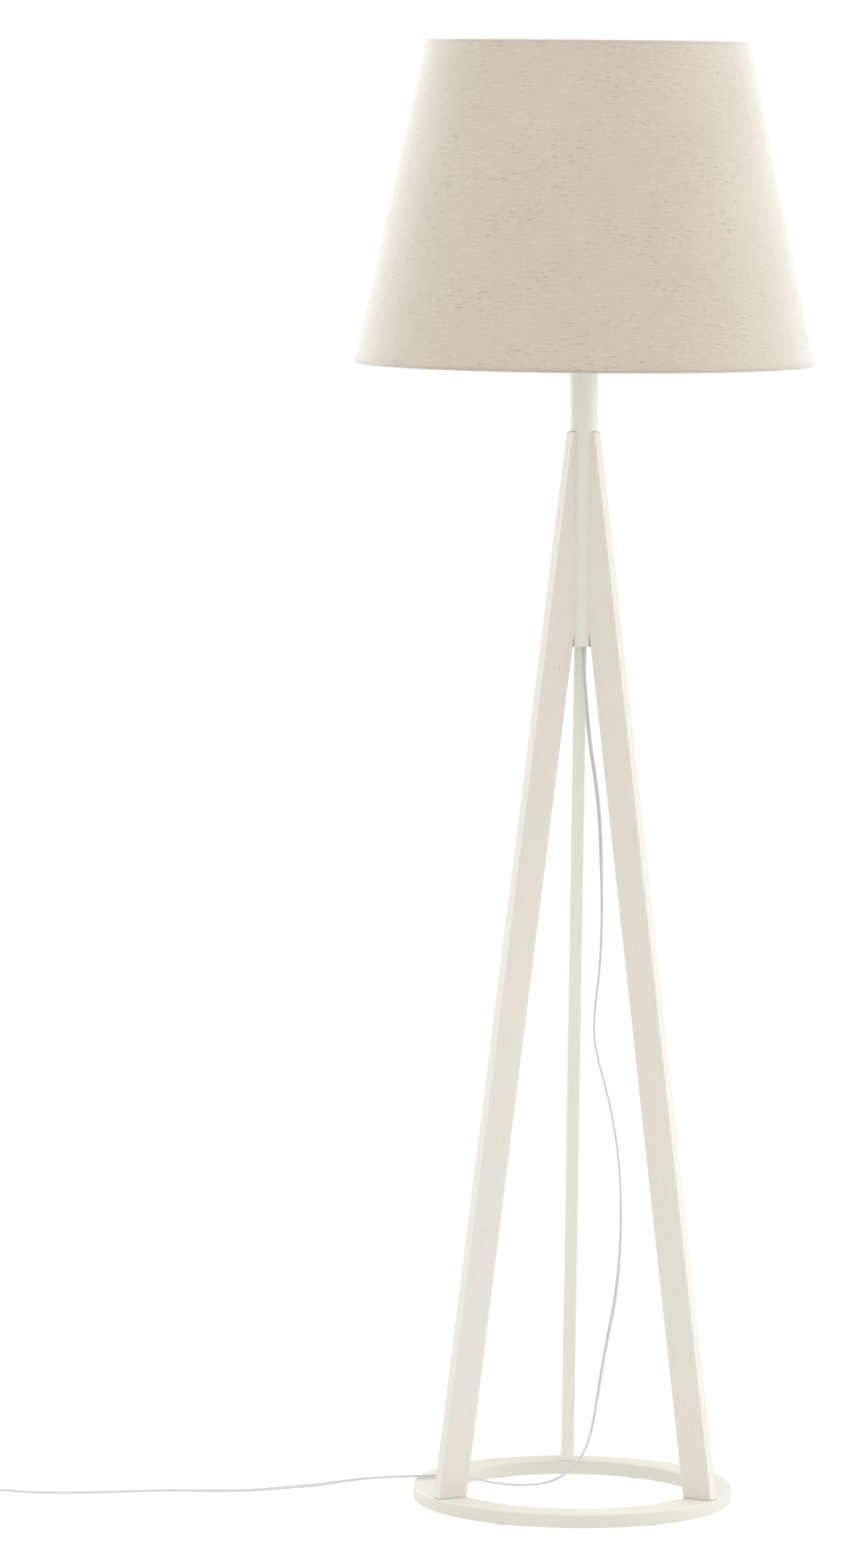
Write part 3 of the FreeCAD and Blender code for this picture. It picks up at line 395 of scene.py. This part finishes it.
def turned(name, outline, steps, material=None, closed=True):
    """A piece turned about Z from an outline of (radius, height)."""
    points = []
    count = len(outline)
    for step in range(steps):
        turn = 2 * math.pi * step / steps
        for radius, height in outline:
            points.append((radius * math.cos(turn), radius * math.sin(turn), height))
    faces = []
    for step in range(steps):
        here, there = step * count, (step + 1) % steps * count
        for index in range(count if closed else count - 1):
            after = (index + 1) % count
            if outline[index][0] == 0 and outline[after][0] == 0:
                continue
            faces.append((here + index, there + index, there + after, here + after))
    return link_mesh(name, points, faces, material)


def tinted(colour, *factors):
    return tuple(value * factor for value, factor in zip(colour, factors))


def stained_wood(name, colour, turns=(), seam=None):
    """Pale wood under a thin off-white stain: faint long grain, fine pores and a few dark specks.

    seam is the height of a joint; a thin dark line of painted shadow is laid on the wood just above it.
    """
    finish = Finish(name, Roughness=0.46)
    broad = finish.between(finish.noise(finish.place((42, 42, 2.2), turns), 1, 4, 0.6), 0.3, 0.7)
    lines = finish.between(finish.noise(finish.place((420, 420, 12), turns), 1, 3, 0.65), 0.42, 0.75)
    pores = finish.between(finish.noise(finish.place((1100, 1100, 60), turns), 1, 1), 0.64, 0.72)
    specks = finish.between(finish.noise(finish.place((230, 230, 150), turns), 1, 1), 0.80, 0.82)
    patches = finish.between(finish.noise(finish.place(), 14, 3), 0.35, 0.7)
    shade = finish.mix(broad * 0.8, colour, tinted(colour, 0.97, 0.95, 0.92))
    shade = finish.mix(patches * 0.6, shade, tinted(colour, 1.0, 0.985, 0.985))
    shade = finish.mix(lines * 0.10, shade, tinted(colour, 0.85, 0.82, 0.77))
    shade = finish.mix(pores * 0.16, shade, tinted(colour, 0.75, 0.70, 0.62))
    shade = finish.mix(specks * 0.6, shade, tinted(colour, 0.42, 0.35, 0.28))
    # Painted shadow: a thin dark band just above the joint, where the gap to the ring lies in shade.
    if seam is not None:
        height = finish.number(finish.node("ShaderNodeSeparateXYZ", {}, {0: finish.place()}), 2)
        gap_shadow = finish.between(height, seam + SEAM_SHADOW_TALL, seam) * (patches * 0.5 + 0.4)
        shade = finish.mix(gap_shadow, shade, tinted(colour, 0.30, 0.27, 0.22))
    finish.colour(shade)
    finish.feed(finish.shader.inputs["Roughness"], broad * 0.10 + lines * 0.08 + 0.38)
    finish.bump(lines * 0.6 - pores + finish.noise(finish.place(), 700, 2) * 0.25, 0.00022, 0.55)
    return finish.material


ring_low, ring_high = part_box("base_ring")
ring_outline = rounded_loop(oblong(RING_INNER, ring_low.z, ring_high.x, ring_high.z), RING_EASE)
ring_wood = stained_wood("ring stain", (0.706, 0.686, 0.616), [ALONG_X])
ring = turned("ring_of_board", ring_outline, 240, ring_wood)
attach(ring, "lamp")
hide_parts("base_ring")


class Recipe:
    """A Geometry Nodes tree: named inputs first, then nodes with their settings and sockets."""

    def __init__(self, name, inputs):
        self.tree = bpy.data.node_groups.new(name, "GeometryNodeTree")
        self.tree.interface.new_socket("Geometry", in_out="INPUT", socket_type="NodeSocketGeometry")
        self.names = {}
        for label, kind in inputs.items():
            socket = self.tree.interface.new_socket(
                label, in_out="INPUT", socket_type=f"NodeSocket{kind}")
            self.names[label] = socket.identifier
        self.tree.interface.new_socket("Geometry", in_out="OUTPUT", socket_type="NodeSocketGeometry")
        self.start = self.tree.nodes.new("NodeGroupInput")
        self.end = self.tree.nodes.new("NodeGroupOutput")

    def node(self, kind, settings=None, sockets=None):
        node = self.tree.nodes.new(kind)
        for setting, value in (settings or {}).items():
            setattr(node, setting, value)
        for socket, value in (sockets or {}).items():
            if isinstance(value, bpy.types.NodeSocket):
                self.tree.links.new(value, node.inputs[socket])
            else:
                node.inputs[socket].default_value = value
        return node

    def maths(self, operation, *values):
        node = self.node("ShaderNodeMath", {"operation": operation}, dict(enumerate(values)))
        return node.outputs[0]

    def close(self, geometry):
        """Ends the tree in realised instances with their material."""
        real = self.node("GeometryNodeRealizeInstances", {}, {0: geometry})
        made = self.node("GeometryNodeSetMaterial", {}, {
            0: real.outputs[0], "Material": self.start.outputs["Material"]})
        self.tree.links.new(made.outputs[0], self.end.inputs[0])

    def apply(self, piece, **values):
        """Runs the tree on a piece and leaves a plain mesh."""
        modifier = piece.modifiers.new("made", "NODES")
        modifier.node_group = self.tree
        for label, value in values.items():
            modifier[self.names[label.replace("_", " ")]] = value
        bpy.context.view_layer.update()
        evaluated = piece.evaluated_get(bpy.context.evaluated_depsgraph_get())
        mesh = bpy.data.meshes.new_from_object(evaluated)
        piece.modifiers.clear()
        piece.data = mesh


def circle_recipe():
    """Copies a seed round Z: how many, how far out, from which angle, and at what height."""
    recipe = Recipe("copies in a circle", {
        "Count": "Int", "Radius": "Float", "First Angle": "Float", "Height": "Float",
        "Material": "Material"})
    start = recipe.start.outputs
    index = recipe.node("GeometryNodeInputIndex").outputs[0]
    share = recipe.maths("DIVIDE", index, start["Count"])
    angle = recipe.maths("ADD", recipe.maths("MULTIPLY", share, math.tau), start["First Angle"])
    x = recipe.maths("MULTIPLY", recipe.maths("COSINE", angle), start["Radius"])
    y = recipe.maths("MULTIPLY", recipe.maths("SINE", angle), start["Radius"])
    spot = recipe.node("ShaderNodeCombineXYZ", {}, {0: x, 1: y, 2: start["Height"]}).outputs[0]
    points = recipe.node("GeometryNodePoints", {}, {"Count": start["Count"], "Position": spot}).outputs[0]
    facing = recipe.node("ShaderNodeCombineXYZ", {}, {2: angle}).outputs[0]
    turn = recipe.node("FunctionNodeEulerToRotation", {}, {0: facing}).outputs[0]
    copies = recipe.node("GeometryNodeInstanceOnPoints", {}, {
        "Points": points, "Instance": start["Geometry"], "Rotation": turn})
    recipe.close(copies.outputs[0])
    return recipe


IN_A_CIRCLE = circle_recipe()


def felt(name, colour):
    """Pressed felt: mottled, with a soft fibrous surface."""
    finish = Finish(name, Roughness=0.95, Sheen_Weight=0.3)
    where = finish.place()
    mottle = finish.between(finish.noise(where, 260, 4, 0.7), 0.3, 0.7)
    finish.colour(finish.mix(mottle, tuple(value * 0.82 for value in colour), colour))
    finish.bump(finish.noise(where, 1500, 4, 0.7), 0.0004, 0.8)
    return finish.material


PAD_RADIUS = 0.011
PAD_MIDDLE = 0.001
PAD_EASE = 0.0004
pad_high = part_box("floor_pads")[1]
pad_ring_radius = pad_high.x - PAD_RADIUS
pad_edge = rounded_loop([
    (PAD_MIDDLE, 0, 0), (PAD_RADIUS, 0), (PAD_RADIUS, pad_high.z), (PAD_MIDDLE, pad_high.z, 0)],
    PAD_EASE, 3)
pads = turned("felt_pads", [(0, 0), *pad_edge, (0, pad_high.z)], 40)
pad_felt = felt("pad felt", (0.78, 0.77, 0.74))
IN_A_CIRCLE.apply(
    pads, Count=6, Radius=pad_ring_radius, First_Angle=0.0, Height=0.0, Material=pad_felt)
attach(pads, "lamp")
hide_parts("floor_pads")


def plated(name, colour, roughness=0.28):
    """Plated or drawn metal: fine scratches and cloudy wear in its gloss."""
    finish = Finish(name, Metallic=1.0)
    where = finish.place()
    cloud = finish.between(finish.noise(where, 120, 4, 0.6), 0.3, 0.7)
    scratch = finish.noise(finish.place((900, 60, 900)), 3, 2)
    finish.colour(finish.mix(cloud, tuple(value * 0.88 for value in colour), colour))
    finish.feed(finish.shader.inputs["Roughness"], cloud * 0.14 + scratch * 0.08 + (roughness - 0.1))
    finish.bump(scratch, 0.00003, 0.5)
    return finish.material


ZINC = plated("zinc plate", (0.62, 0.63, 0.65))


SCREW_HEAD = 0.004
HEAD_TALL = 0.0024
HEAD_EASE = 0.0003
DRIVE_RADIUS = 0.0013
DRIVE_MOUTH = 0.0014
DRIVE_DEEP = 0.0011
SCREW_CORE = 0.002
SHANK_PLAIN = 0.010
SCREW_POINT = 0.004
POINT_TALL = 0.0025
THREADS = 14
THREAD_RISE = 0.0009
THREAD_ROOT = SCREW_CORE * 0.72
POINT_RADIUS = SCREW_CORE * 0.6
screw_low, screw_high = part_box("foot_screws")
screw_long = screw_high.z - screw_low.z
screw_outline = [
    (0, DRIVE_DEEP), (DRIVE_RADIUS, DRIVE_DEEP), (DRIVE_MOUTH, 0), (SCREW_HEAD - HEAD_EASE, 0),
    (SCREW_HEAD, HEAD_EASE), (SCREW_CORE, HEAD_TALL),
]
for thread in range(THREADS):
    height = SHANK_PLAIN + (screw_long - SHANK_PLAIN - SCREW_POINT) * thread / THREADS
    screw_outline += [(THREAD_ROOT, height), (SCREW_CORE, height + THREAD_RISE)]
screw_outline += [(POINT_RADIUS, screw_long - POINT_TALL), (0, screw_long)]
screws = turned("foot_wood_screws", screw_outline, 20, closed=False)
IN_A_CIRCLE.apply(
    screws, Count=3, Radius=pad_ring_radius, First_Angle=math.pi / 2, Height=screw_low.z, Material=ZINC)
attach(screws, "lamp")
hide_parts("foot_screws")

# ---- Legs -------------------------------------------------------------------------------------
# Three boards 14 mm thick, each set on edge along a radius. They taper into the flats of the pole
# at the top, are pulled down to the ring by a screw, and share the ring's stain.

LEG_LEAN = math.radians(7.7)
# Each leg has its own copy of the stain colour. The back leg's copy is lighter as painted light, for the
# stronger light that falls on it further back.
LEGS = {
    "leg_left": (210, (0.735, 0.700, 0.640)),
    "leg_right": (330, (0.735, 0.700, 0.635)),
    "leg_back": (90, (0.79, 0.78, 0.705)),
}


def dress(node, material):
    """A CAD node that stays gets its finish."""
    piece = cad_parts[node]
    piece.data.materials.clear()
    piece.data.materials.append(material)


for leg, (leg_angle, leg_colour_with_painted_light) in LEGS.items():
    leg_turns = [(0, 0, -math.radians(leg_angle)), (0, LEG_LEAN, 0)]
    dress(leg, stained_wood(f"{leg} stain", leg_colour_with_painted_light, leg_turns, ring_high.z))
dress("leg_dowels", stained_wood("beech", (0.62, 0.45, 0.28), [ALONG_X]))

# ---- Pole -------------------------------------------------------------------------------------
# A 30 mm round pole with three flats for the legs. It is bored for the lead, and a short plastic
# liner keeps its mouth from rubbing the lead.

dress("centre_pole", stained_wood("pole stain", (0.748, 0.722, 0.657)))
dress("pole_cord", LEAD_VINYL)
WHITE_PLASTIC = vinyl("matt white plastic", (0.80, 0.80, 0.78), 0.5)
dress("cord_sleeve", WHITE_PLASTIC)

# ---- Holder -----------------------------------------------------------------------------------
# A white two-part holder for a 27 mm screw bulb on a threaded tube. Two screwed rings on its
# threaded sleeve grip the ring of the shade between them.

dress("threaded_tube", ZINC)
dress("pole_washer", ZINC)
dress("lock_nut", ZINC)
dress("holder_cap", WHITE_PLASTIC)
dress("holder_body", WHITE_PLASTIC)
dress("holder_insulator", vinyl("glazed ceramic", (0.84, 0.83, 0.80), 0.2))
BRASS = plated("brass", (0.72, 0.52, 0.22))
dress("terminal_screws", BRASS)
dress("centre_contact", BRASS)
dress("side_contact", BRASS)
dress("holder_wires", vinyl("wire cover", (0.20, 0.12, 0.07), 0.4))
dress("holder_ring_lower", WHITE_PLASTIC)
dress("holder_ring_upper", WHITE_PLASTIC)

# ---- Bulb -------------------------------------------------------------------------------------
# A clear bulb with four filament rods on a glass stem, a drawn screw shell and a glass collar.

CLEAR = (0.97, 0.98, 0.98)
GLASS = Finish(
    "clear glass", Roughness=0.02, IOR=1.45, Base_Color=CLEAR, Transmission_Weight=1.0).material
dress("bulb_glass", GLASS)
dress("bulb_stem", GLASS)
dress("bulb_screw_shell", plated("drawn shell", (0.72, 0.72, 0.70), 0.3))
dress("bulb_tip_contact", ZINC)
dress("bulb_collar", vinyl("black glass", (0.015, 0.015, 0.017), 0.12))
dress("bulb_filaments", vinyl("phosphor", (0.85, 0.62, 0.20), 0.5))

# ---- Shade ------------------------------------------------------------------------------------
# Natural linen glued to a white film and rolled over two steel wires. The cone is cut in one
# piece from flat cloth, so its threads run level at the front only, and it laps at the back.

SHADE_BOTTOM_RADIUS = 0.250
SHADE_TOP_RADIUS = 0.175
shade_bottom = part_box("shade_bottom_hem")[0].z
shade_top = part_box("shade_top_hem")[1].z
shade_tall = shade_top - shade_bottom
shade_slope = (SHADE_BOTTOM_RADIUS - SHADE_TOP_RADIUS) / shade_tall
cone_sine = math.sin(math.atan(shade_slope))
LINEN_THICK = 0.0007
GLUE = 0.0001
WIRE_RADIUS = 0.0016
FLAP = 0.009
FOLD_STEPS = 12
SEAM_LAP = 0.010
SEAM_STEP = 0.0006
RIM_SHADE_BAND = 0.0045
SLIT_HALF_DEGREES = 0.6


def linen_line():
    """The middle of the cloth, as (radius, height, cloth distance), from flap to flap."""
    half = LINEN_THICK / 2
    fold = WIRE_RADIUS + half + GLUE
    bottom_middle = shade_bottom + WIRE_RADIUS + LINEN_THICK
    top_middle = shade_top - WIRE_RADIUS - LINEN_THICK
    low_radius = SHADE_BOTTOM_RADIUS - shade_slope * (bottom_middle - shade_bottom) - half - fold
    high_radius = SHADE_BOTTOM_RADIUS - shade_slope * (top_middle - shade_bottom) - half - fold
    flap_lean = shade_slope * FLAP * 0.6
    line = [(low_radius - fold - flap_lean, shade_bottom + FLAP)]
    for step in range(FOLD_STEPS + 1):
        angle = math.radians(180 + 180 * step / FOLD_STEPS)
        line.append((low_radius + fold * math.cos(angle), bottom_middle + fold * math.sin(angle)))
    steps = 40
    for step in range(1, steps):
        share = step / steps
        radius = low_radius + fold + (high_radius - low_radius) * share
        line.append((radius, bottom_middle + (top_middle - bottom_middle) * share))
    for step in range(FOLD_STEPS + 1):
        angle = math.radians(180 * step / FOLD_STEPS)
        line.append((high_radius + fold * math.cos(angle), top_middle + fold * math.sin(angle)))
    line.append((high_radius - fold + flap_lean, shade_top - FLAP))
    return line


def cloth_place(angle, distance):
    """A cone point's place in the flat cloth, from its angle from the front and distance up the slant."""
    slant = SHADE_BOTTOM_RADIUS / cone_sine - distance
    return slant * math.sin(angle * cone_sine), -slant * math.cos(angle * cone_sine)


def shade_sheet(name, line, thick, material, lap=0.0, slits=()):
    """A conical sheet with its flat-cloth map.

    lap lifts the strip that overlaps at the back, and slits, in degrees, open its first row.
    """
    segments = 360
    angles = [math.radians(360 * (step + 0.5) / segments) - math.pi for step in range(segments)]
    lap_from = math.pi - SEAM_LAP / SHADE_BOTTOM_RADIUS
    ramp = 0.0008
    cut = 0.0002
    if lap:
        angles += [lap_from, lap_from - ramp, math.pi - cut, -math.pi + cut]
        angles.sort()
    distances = [0.0]
    for first, second in zip(line, line[1:]):
        distances.append(distances[-1] + math.dist(first, second))
    points = []
    for angle in angles:
        lifted = lap if angle > lap_from - ramp / 8 else 0
        for radius, height in line:
            reach = radius + lifted
            points.append((reach * math.sin(angle), -reach * math.cos(angle), height))
    faces = []
    places = []
    count = len(line)
    total = len(angles)
    for step in range(total):
        here, there = step * count, (step + 1) % total * count
        next_angle = angles[(step + 1) % total] + (math.tau if step == total - 1 else 0)
        middle = math.degrees((angles[step] + next_angle) / 2) % 360
        for index in range(count - 1):
            if index == 0 and any(abs(middle - slit) < SLIT_HALF_DEGREES for slit in slits):
                continue
            faces.append((here + index, there + index, there + index + 1, here + index + 1))
            low, high = distances[index], distances[index + 1]
            places.append([
                cloth_place(angles[step], low), cloth_place(next_angle, low),
                cloth_place(next_angle, high), cloth_place(angles[step], high)])
    mesh = bpy.data.meshes.new(name)
    mesh.from_pydata(points, [], faces)
    cloth_map = mesh.uv_layers.new(name="cloth")
    for face, corners in zip(mesh.polygons, places):
        for loop, corner in zip(face.loop_indices, corners):
            cloth_map.data[loop].uv = corner
    mesh.materials.append(material)
    mesh.shade_smooth()
    mesh.set_sharp_from_angle(angle=math.radians(60))
    piece = bpy.data.objects.new(name, mesh)
    bpy.context.scene.collection.objects.link(piece)
    wall = piece.modifiers.new("wall", "SOLIDIFY")
    wall.thickness = thick
    wall.offset = 0
    bpy.context.view_layer.update()
    evaluated = piece.evaluated_get(bpy.context.evaluated_depsgraph_get())
    solid = bpy.data.meshes.new_from_object(evaluated)
    piece.modifiers.clear()
    piece.data = solid
    return piece


def linen(name):
    """Natural linen: plain weave, uneven threads, pale and brown slubs mostly along the weft."""
    finish = Finish(
        name, Roughness=0.92, Sheen_Weight=1.0, Sheen_Roughness=0.5, Sheen_Tint=(1.0, 0.995, 0.98))

    def thread_noise(scale, detail, roughness=0.5):
        """Noise on the flat cloth; scale says how fast it changes across and along the cloth."""
        return finish.noise(finish.place(scale, source="UV"), 1, detail, roughness)

    cloth = finish.place(source="UV")
    threads = 1450
    split = finish.node("ShaderNodeSeparateXYZ", {}, {0: cloth})
    across, along = finish.number(split, 0), finish.number(split, 1)
    wander = thread_noise((14, 60, 1), 2)
    warp = (across * threads + wander * 2.0).sine()
    weft = (along * threads + wander * 3.0).sine()
    weave = warp * weft
    weft_tone = thread_noise((52, 600, 1), 3, 0.6)
    warp_tone = thread_noise((800, 26, 1), 3, 0.6)
    crowd = finish.between(thread_noise((11, 26, 4), 2), 0.38, 0.62)
    brown = finish.between(thread_noise((110, 520, 1), 2, 0.6), 0.58, 0.76)
    long_brown = finish.between(thread_noise((42, 460, 2), 2, 0.6), 0.60, 0.78)
    brown_up = finish.between(thread_noise((1000, 130, 3), 1), 0.69, 0.76)
    pale = finish.between(thread_noise((75, 560, 9), 2, 0.6), 0.58, 0.80)
    specks = finish.between(thread_noise((360, 620, 5), 1), 0.755, 0.785)
    cloud = finish.between(finish.noise(cloth, 9, 4, 0.6), 0.3, 0.7)
    base = finish.mix(cloud, (0.482, 0.424, 0.335), (0.528, 0.464, 0.378))
    base = finish.mix(finish.between(weft_tone, 0.3, 0.7) * 0.36, base, (0.625, 0.570, 0.480))
    base = finish.mix(finish.between(warp_tone, 0.45, 0.75) * 0.20, base, (0.455, 0.388, 0.300))
    base = finish.mix(pale * 0.60, base, (0.72, 0.665, 0.575))
    base = finish.mix(brown * (crowd * 0.8 + 0.25), base, (0.31, 0.265, 0.20))
    base = finish.mix(long_brown * (crowd * 0.5 + 0.2), base, (0.33, 0.28, 0.21))
    base = finish.mix(brown_up * 0.45, base, (0.35, 0.29, 0.21))
    base = finish.mix(specks * 0.6, base, (0.14, 0.10, 0.06))
    # Painted shade: the cloth is darkened in a band a few millimetres deep at the bottom and top rims,
    # where the rolled hems turn away from the light.
    height = finish.number(finish.node("ShaderNodeSeparateXYZ", {}, {0: finish.place()}), 2)
    low_rim_shade = finish.between(height, shade_bottom + RIM_SHADE_BAND, shade_bottom + 0.001)
    high_rim_shade = finish.between(height, shade_top - RIM_SHADE_BAND, shade_top - 0.001)
    finish.colour(finish.mix((low_rim_shade + high_rim_shade) * 0.32, base, (0.33, 0.295, 0.25)))
    finish.bump(weave * 0.12 + weft_tone * 1.4 + warp_tone * 0.8 + pale + brown * 0.6, 0.00035, 0.7)
    return finish.material


def film(name):
    """White film that lines the shade, faintly mottled where the cloth shows through."""
    finish = Finish(name, Roughness=0.55)
    where = finish.place()
    cloud = finish.between(finish.noise(where, 16, 4, 0.6), 0.3, 0.7)
    finish.colour(finish.mix(cloud, (0.80, 0.785, 0.745), (0.845, 0.835, 0.80)))
    finish.bump(finish.noise(where, 800, 3), 0.0001, 0.4)
    return finish.material


ARM_ANGLES = (30, 150, 270)
slit_angles = [(angle + 90) % 360 for angle in ARM_ANGLES]
cloth_finish = linen("natural linen")
linen_sheet = shade_sheet("linen_cone", linen_line(), LINEN_THICK, cloth_finish, SEAM_STEP, slit_angles)
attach(linen_sheet, "shade")
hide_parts("shade_linen", "shade_top_hem", "shade_bottom_hem")

lining_low, lining_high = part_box("shade_lining")
LINING_THICK = 0.0008
lining_inset = LINEN_THICK + GLUE + LINING_THICK / 2
lining_line = []
for step in range(21):
    height = lining_low.z + (lining_high.z - lining_low.z) * step / 20
    radius = SHADE_BOTTOM_RADIUS - shade_slope * (height - shade_bottom) - lining_inset
    lining_line.append((radius, height))
lining = shade_sheet("film_lining", lining_line, LINING_THICK, film("lining film"))
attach(lining, "shade")
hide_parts("shade_lining")

WHITE_STEEL = vinyl("white powder coat", (0.84, 0.84, 0.82), 0.35)
for node in ("shade_bottom_wire", "shade_top_wire", "fitter_ring", "fitter_arms"):
    dress(node, WHITE_STEEL)

# ---- Foot switch ------------------------------------------------------------------------------
# A round-ended white case in two halves with a big sprung button, screwed together from below,
# with a ribbed soft sleeve on the lead at each end.

CASE_PLASTIC = vinyl("switch case plastic", (0.79, 0.79, 0.78), 0.3)
dress("switch_base", CASE_PLASTIC)
dress("switch_cover", CASE_PLASTIC)
dress("switch_button", vinyl("button plastic", (0.73, 0.73, 0.72), 0.26))
dress("switch_screws", ZINC)
dress("switch_spring", ZINC)
dress("switch_contacts", BRASS)
dress("switch_reliefs", LEAD_VINYL)

# ---- Plug -------------------------------------------------------------------------------------
# A moulded flat two-pin plug with plated pins, sleeved next to the body.

dress("plug_body", vinyl("plug vinyl", (0.68, 0.68, 0.68), 0.4))
dress("plug_pins", plated("nickel plate", (0.70, 0.67, 0.61), 0.2))
dress("plug_pin_sleeves", vinyl("sleeve plastic", (0.60, 0.60, 0.60), 0.45))
dress("plug_relief", LEAD_VINYL)

# ---- Studio -----------------------------------------------------------------------------------
# A white floor and a white room, with a large soft light at each side and one above.

scene = bpy.context.scene
scene.view_settings.view_transform = "Standard"
floor_glow = Finish(
    "floor white", Base_Color=(0, 0, 0), Roughness=1.0, Emission_Color=(1, 1, 1), Emission_Strength=1.0)
FLOOR_REACH = 14
FLOOR_LEVEL = -0.0002
floor_corners = [
    (x, y, FLOOR_LEVEL) for x, y in oblong(-FLOOR_REACH, -FLOOR_REACH, FLOOR_REACH, FLOOR_REACH)]
floor = link_mesh("floor", floor_corners, [(0, 1, 2, 3)], floor_glow.material)

world = bpy.data.worlds.new("white room")
scene.world = world
world.use_nodes = True
world.node_tree.nodes["Background"].inputs["Color"].default_value = (1, 1, 1, 1)
world.node_tree.nodes["Background"].inputs["Strength"].default_value = 1.0


LIGHT_COLOUR = (0.94, 0.975, 1.0)
LIT_POINT = Vector((0, 0, 1.0))
SIDE_LIGHT = (1.6, 2.6)
TOP_LIGHT = (2.5, 2.5)


def soft_light(name, place, power, size):
    """A rectangular light at a place, turned towards the middle of the lamp."""
    light = bpy.data.lights.new(name, "AREA")
    light.shape = "RECTANGLE"
    light.size, light.size_y = size
    light.energy = power
    light.color = LIGHT_COLOUR
    lamp = bpy.data.objects.new(name, light)
    scene.collection.objects.link(lamp)
    lamp.location = place
    lamp.rotation_euler = (LIT_POINT - Vector(place)).to_track_quat("-Z", "Y").to_euler()


soft_light("light right", (3.94, 0.7, 1.2), 52, SIDE_LIGHT)
soft_light("light left", (-2.83, 2.83, 1.2), 44, SIDE_LIGHT)
soft_light("light above", (0, -1.0, 6.0), 90, TOP_LIGHT)

bpy.context.view_layer.update()
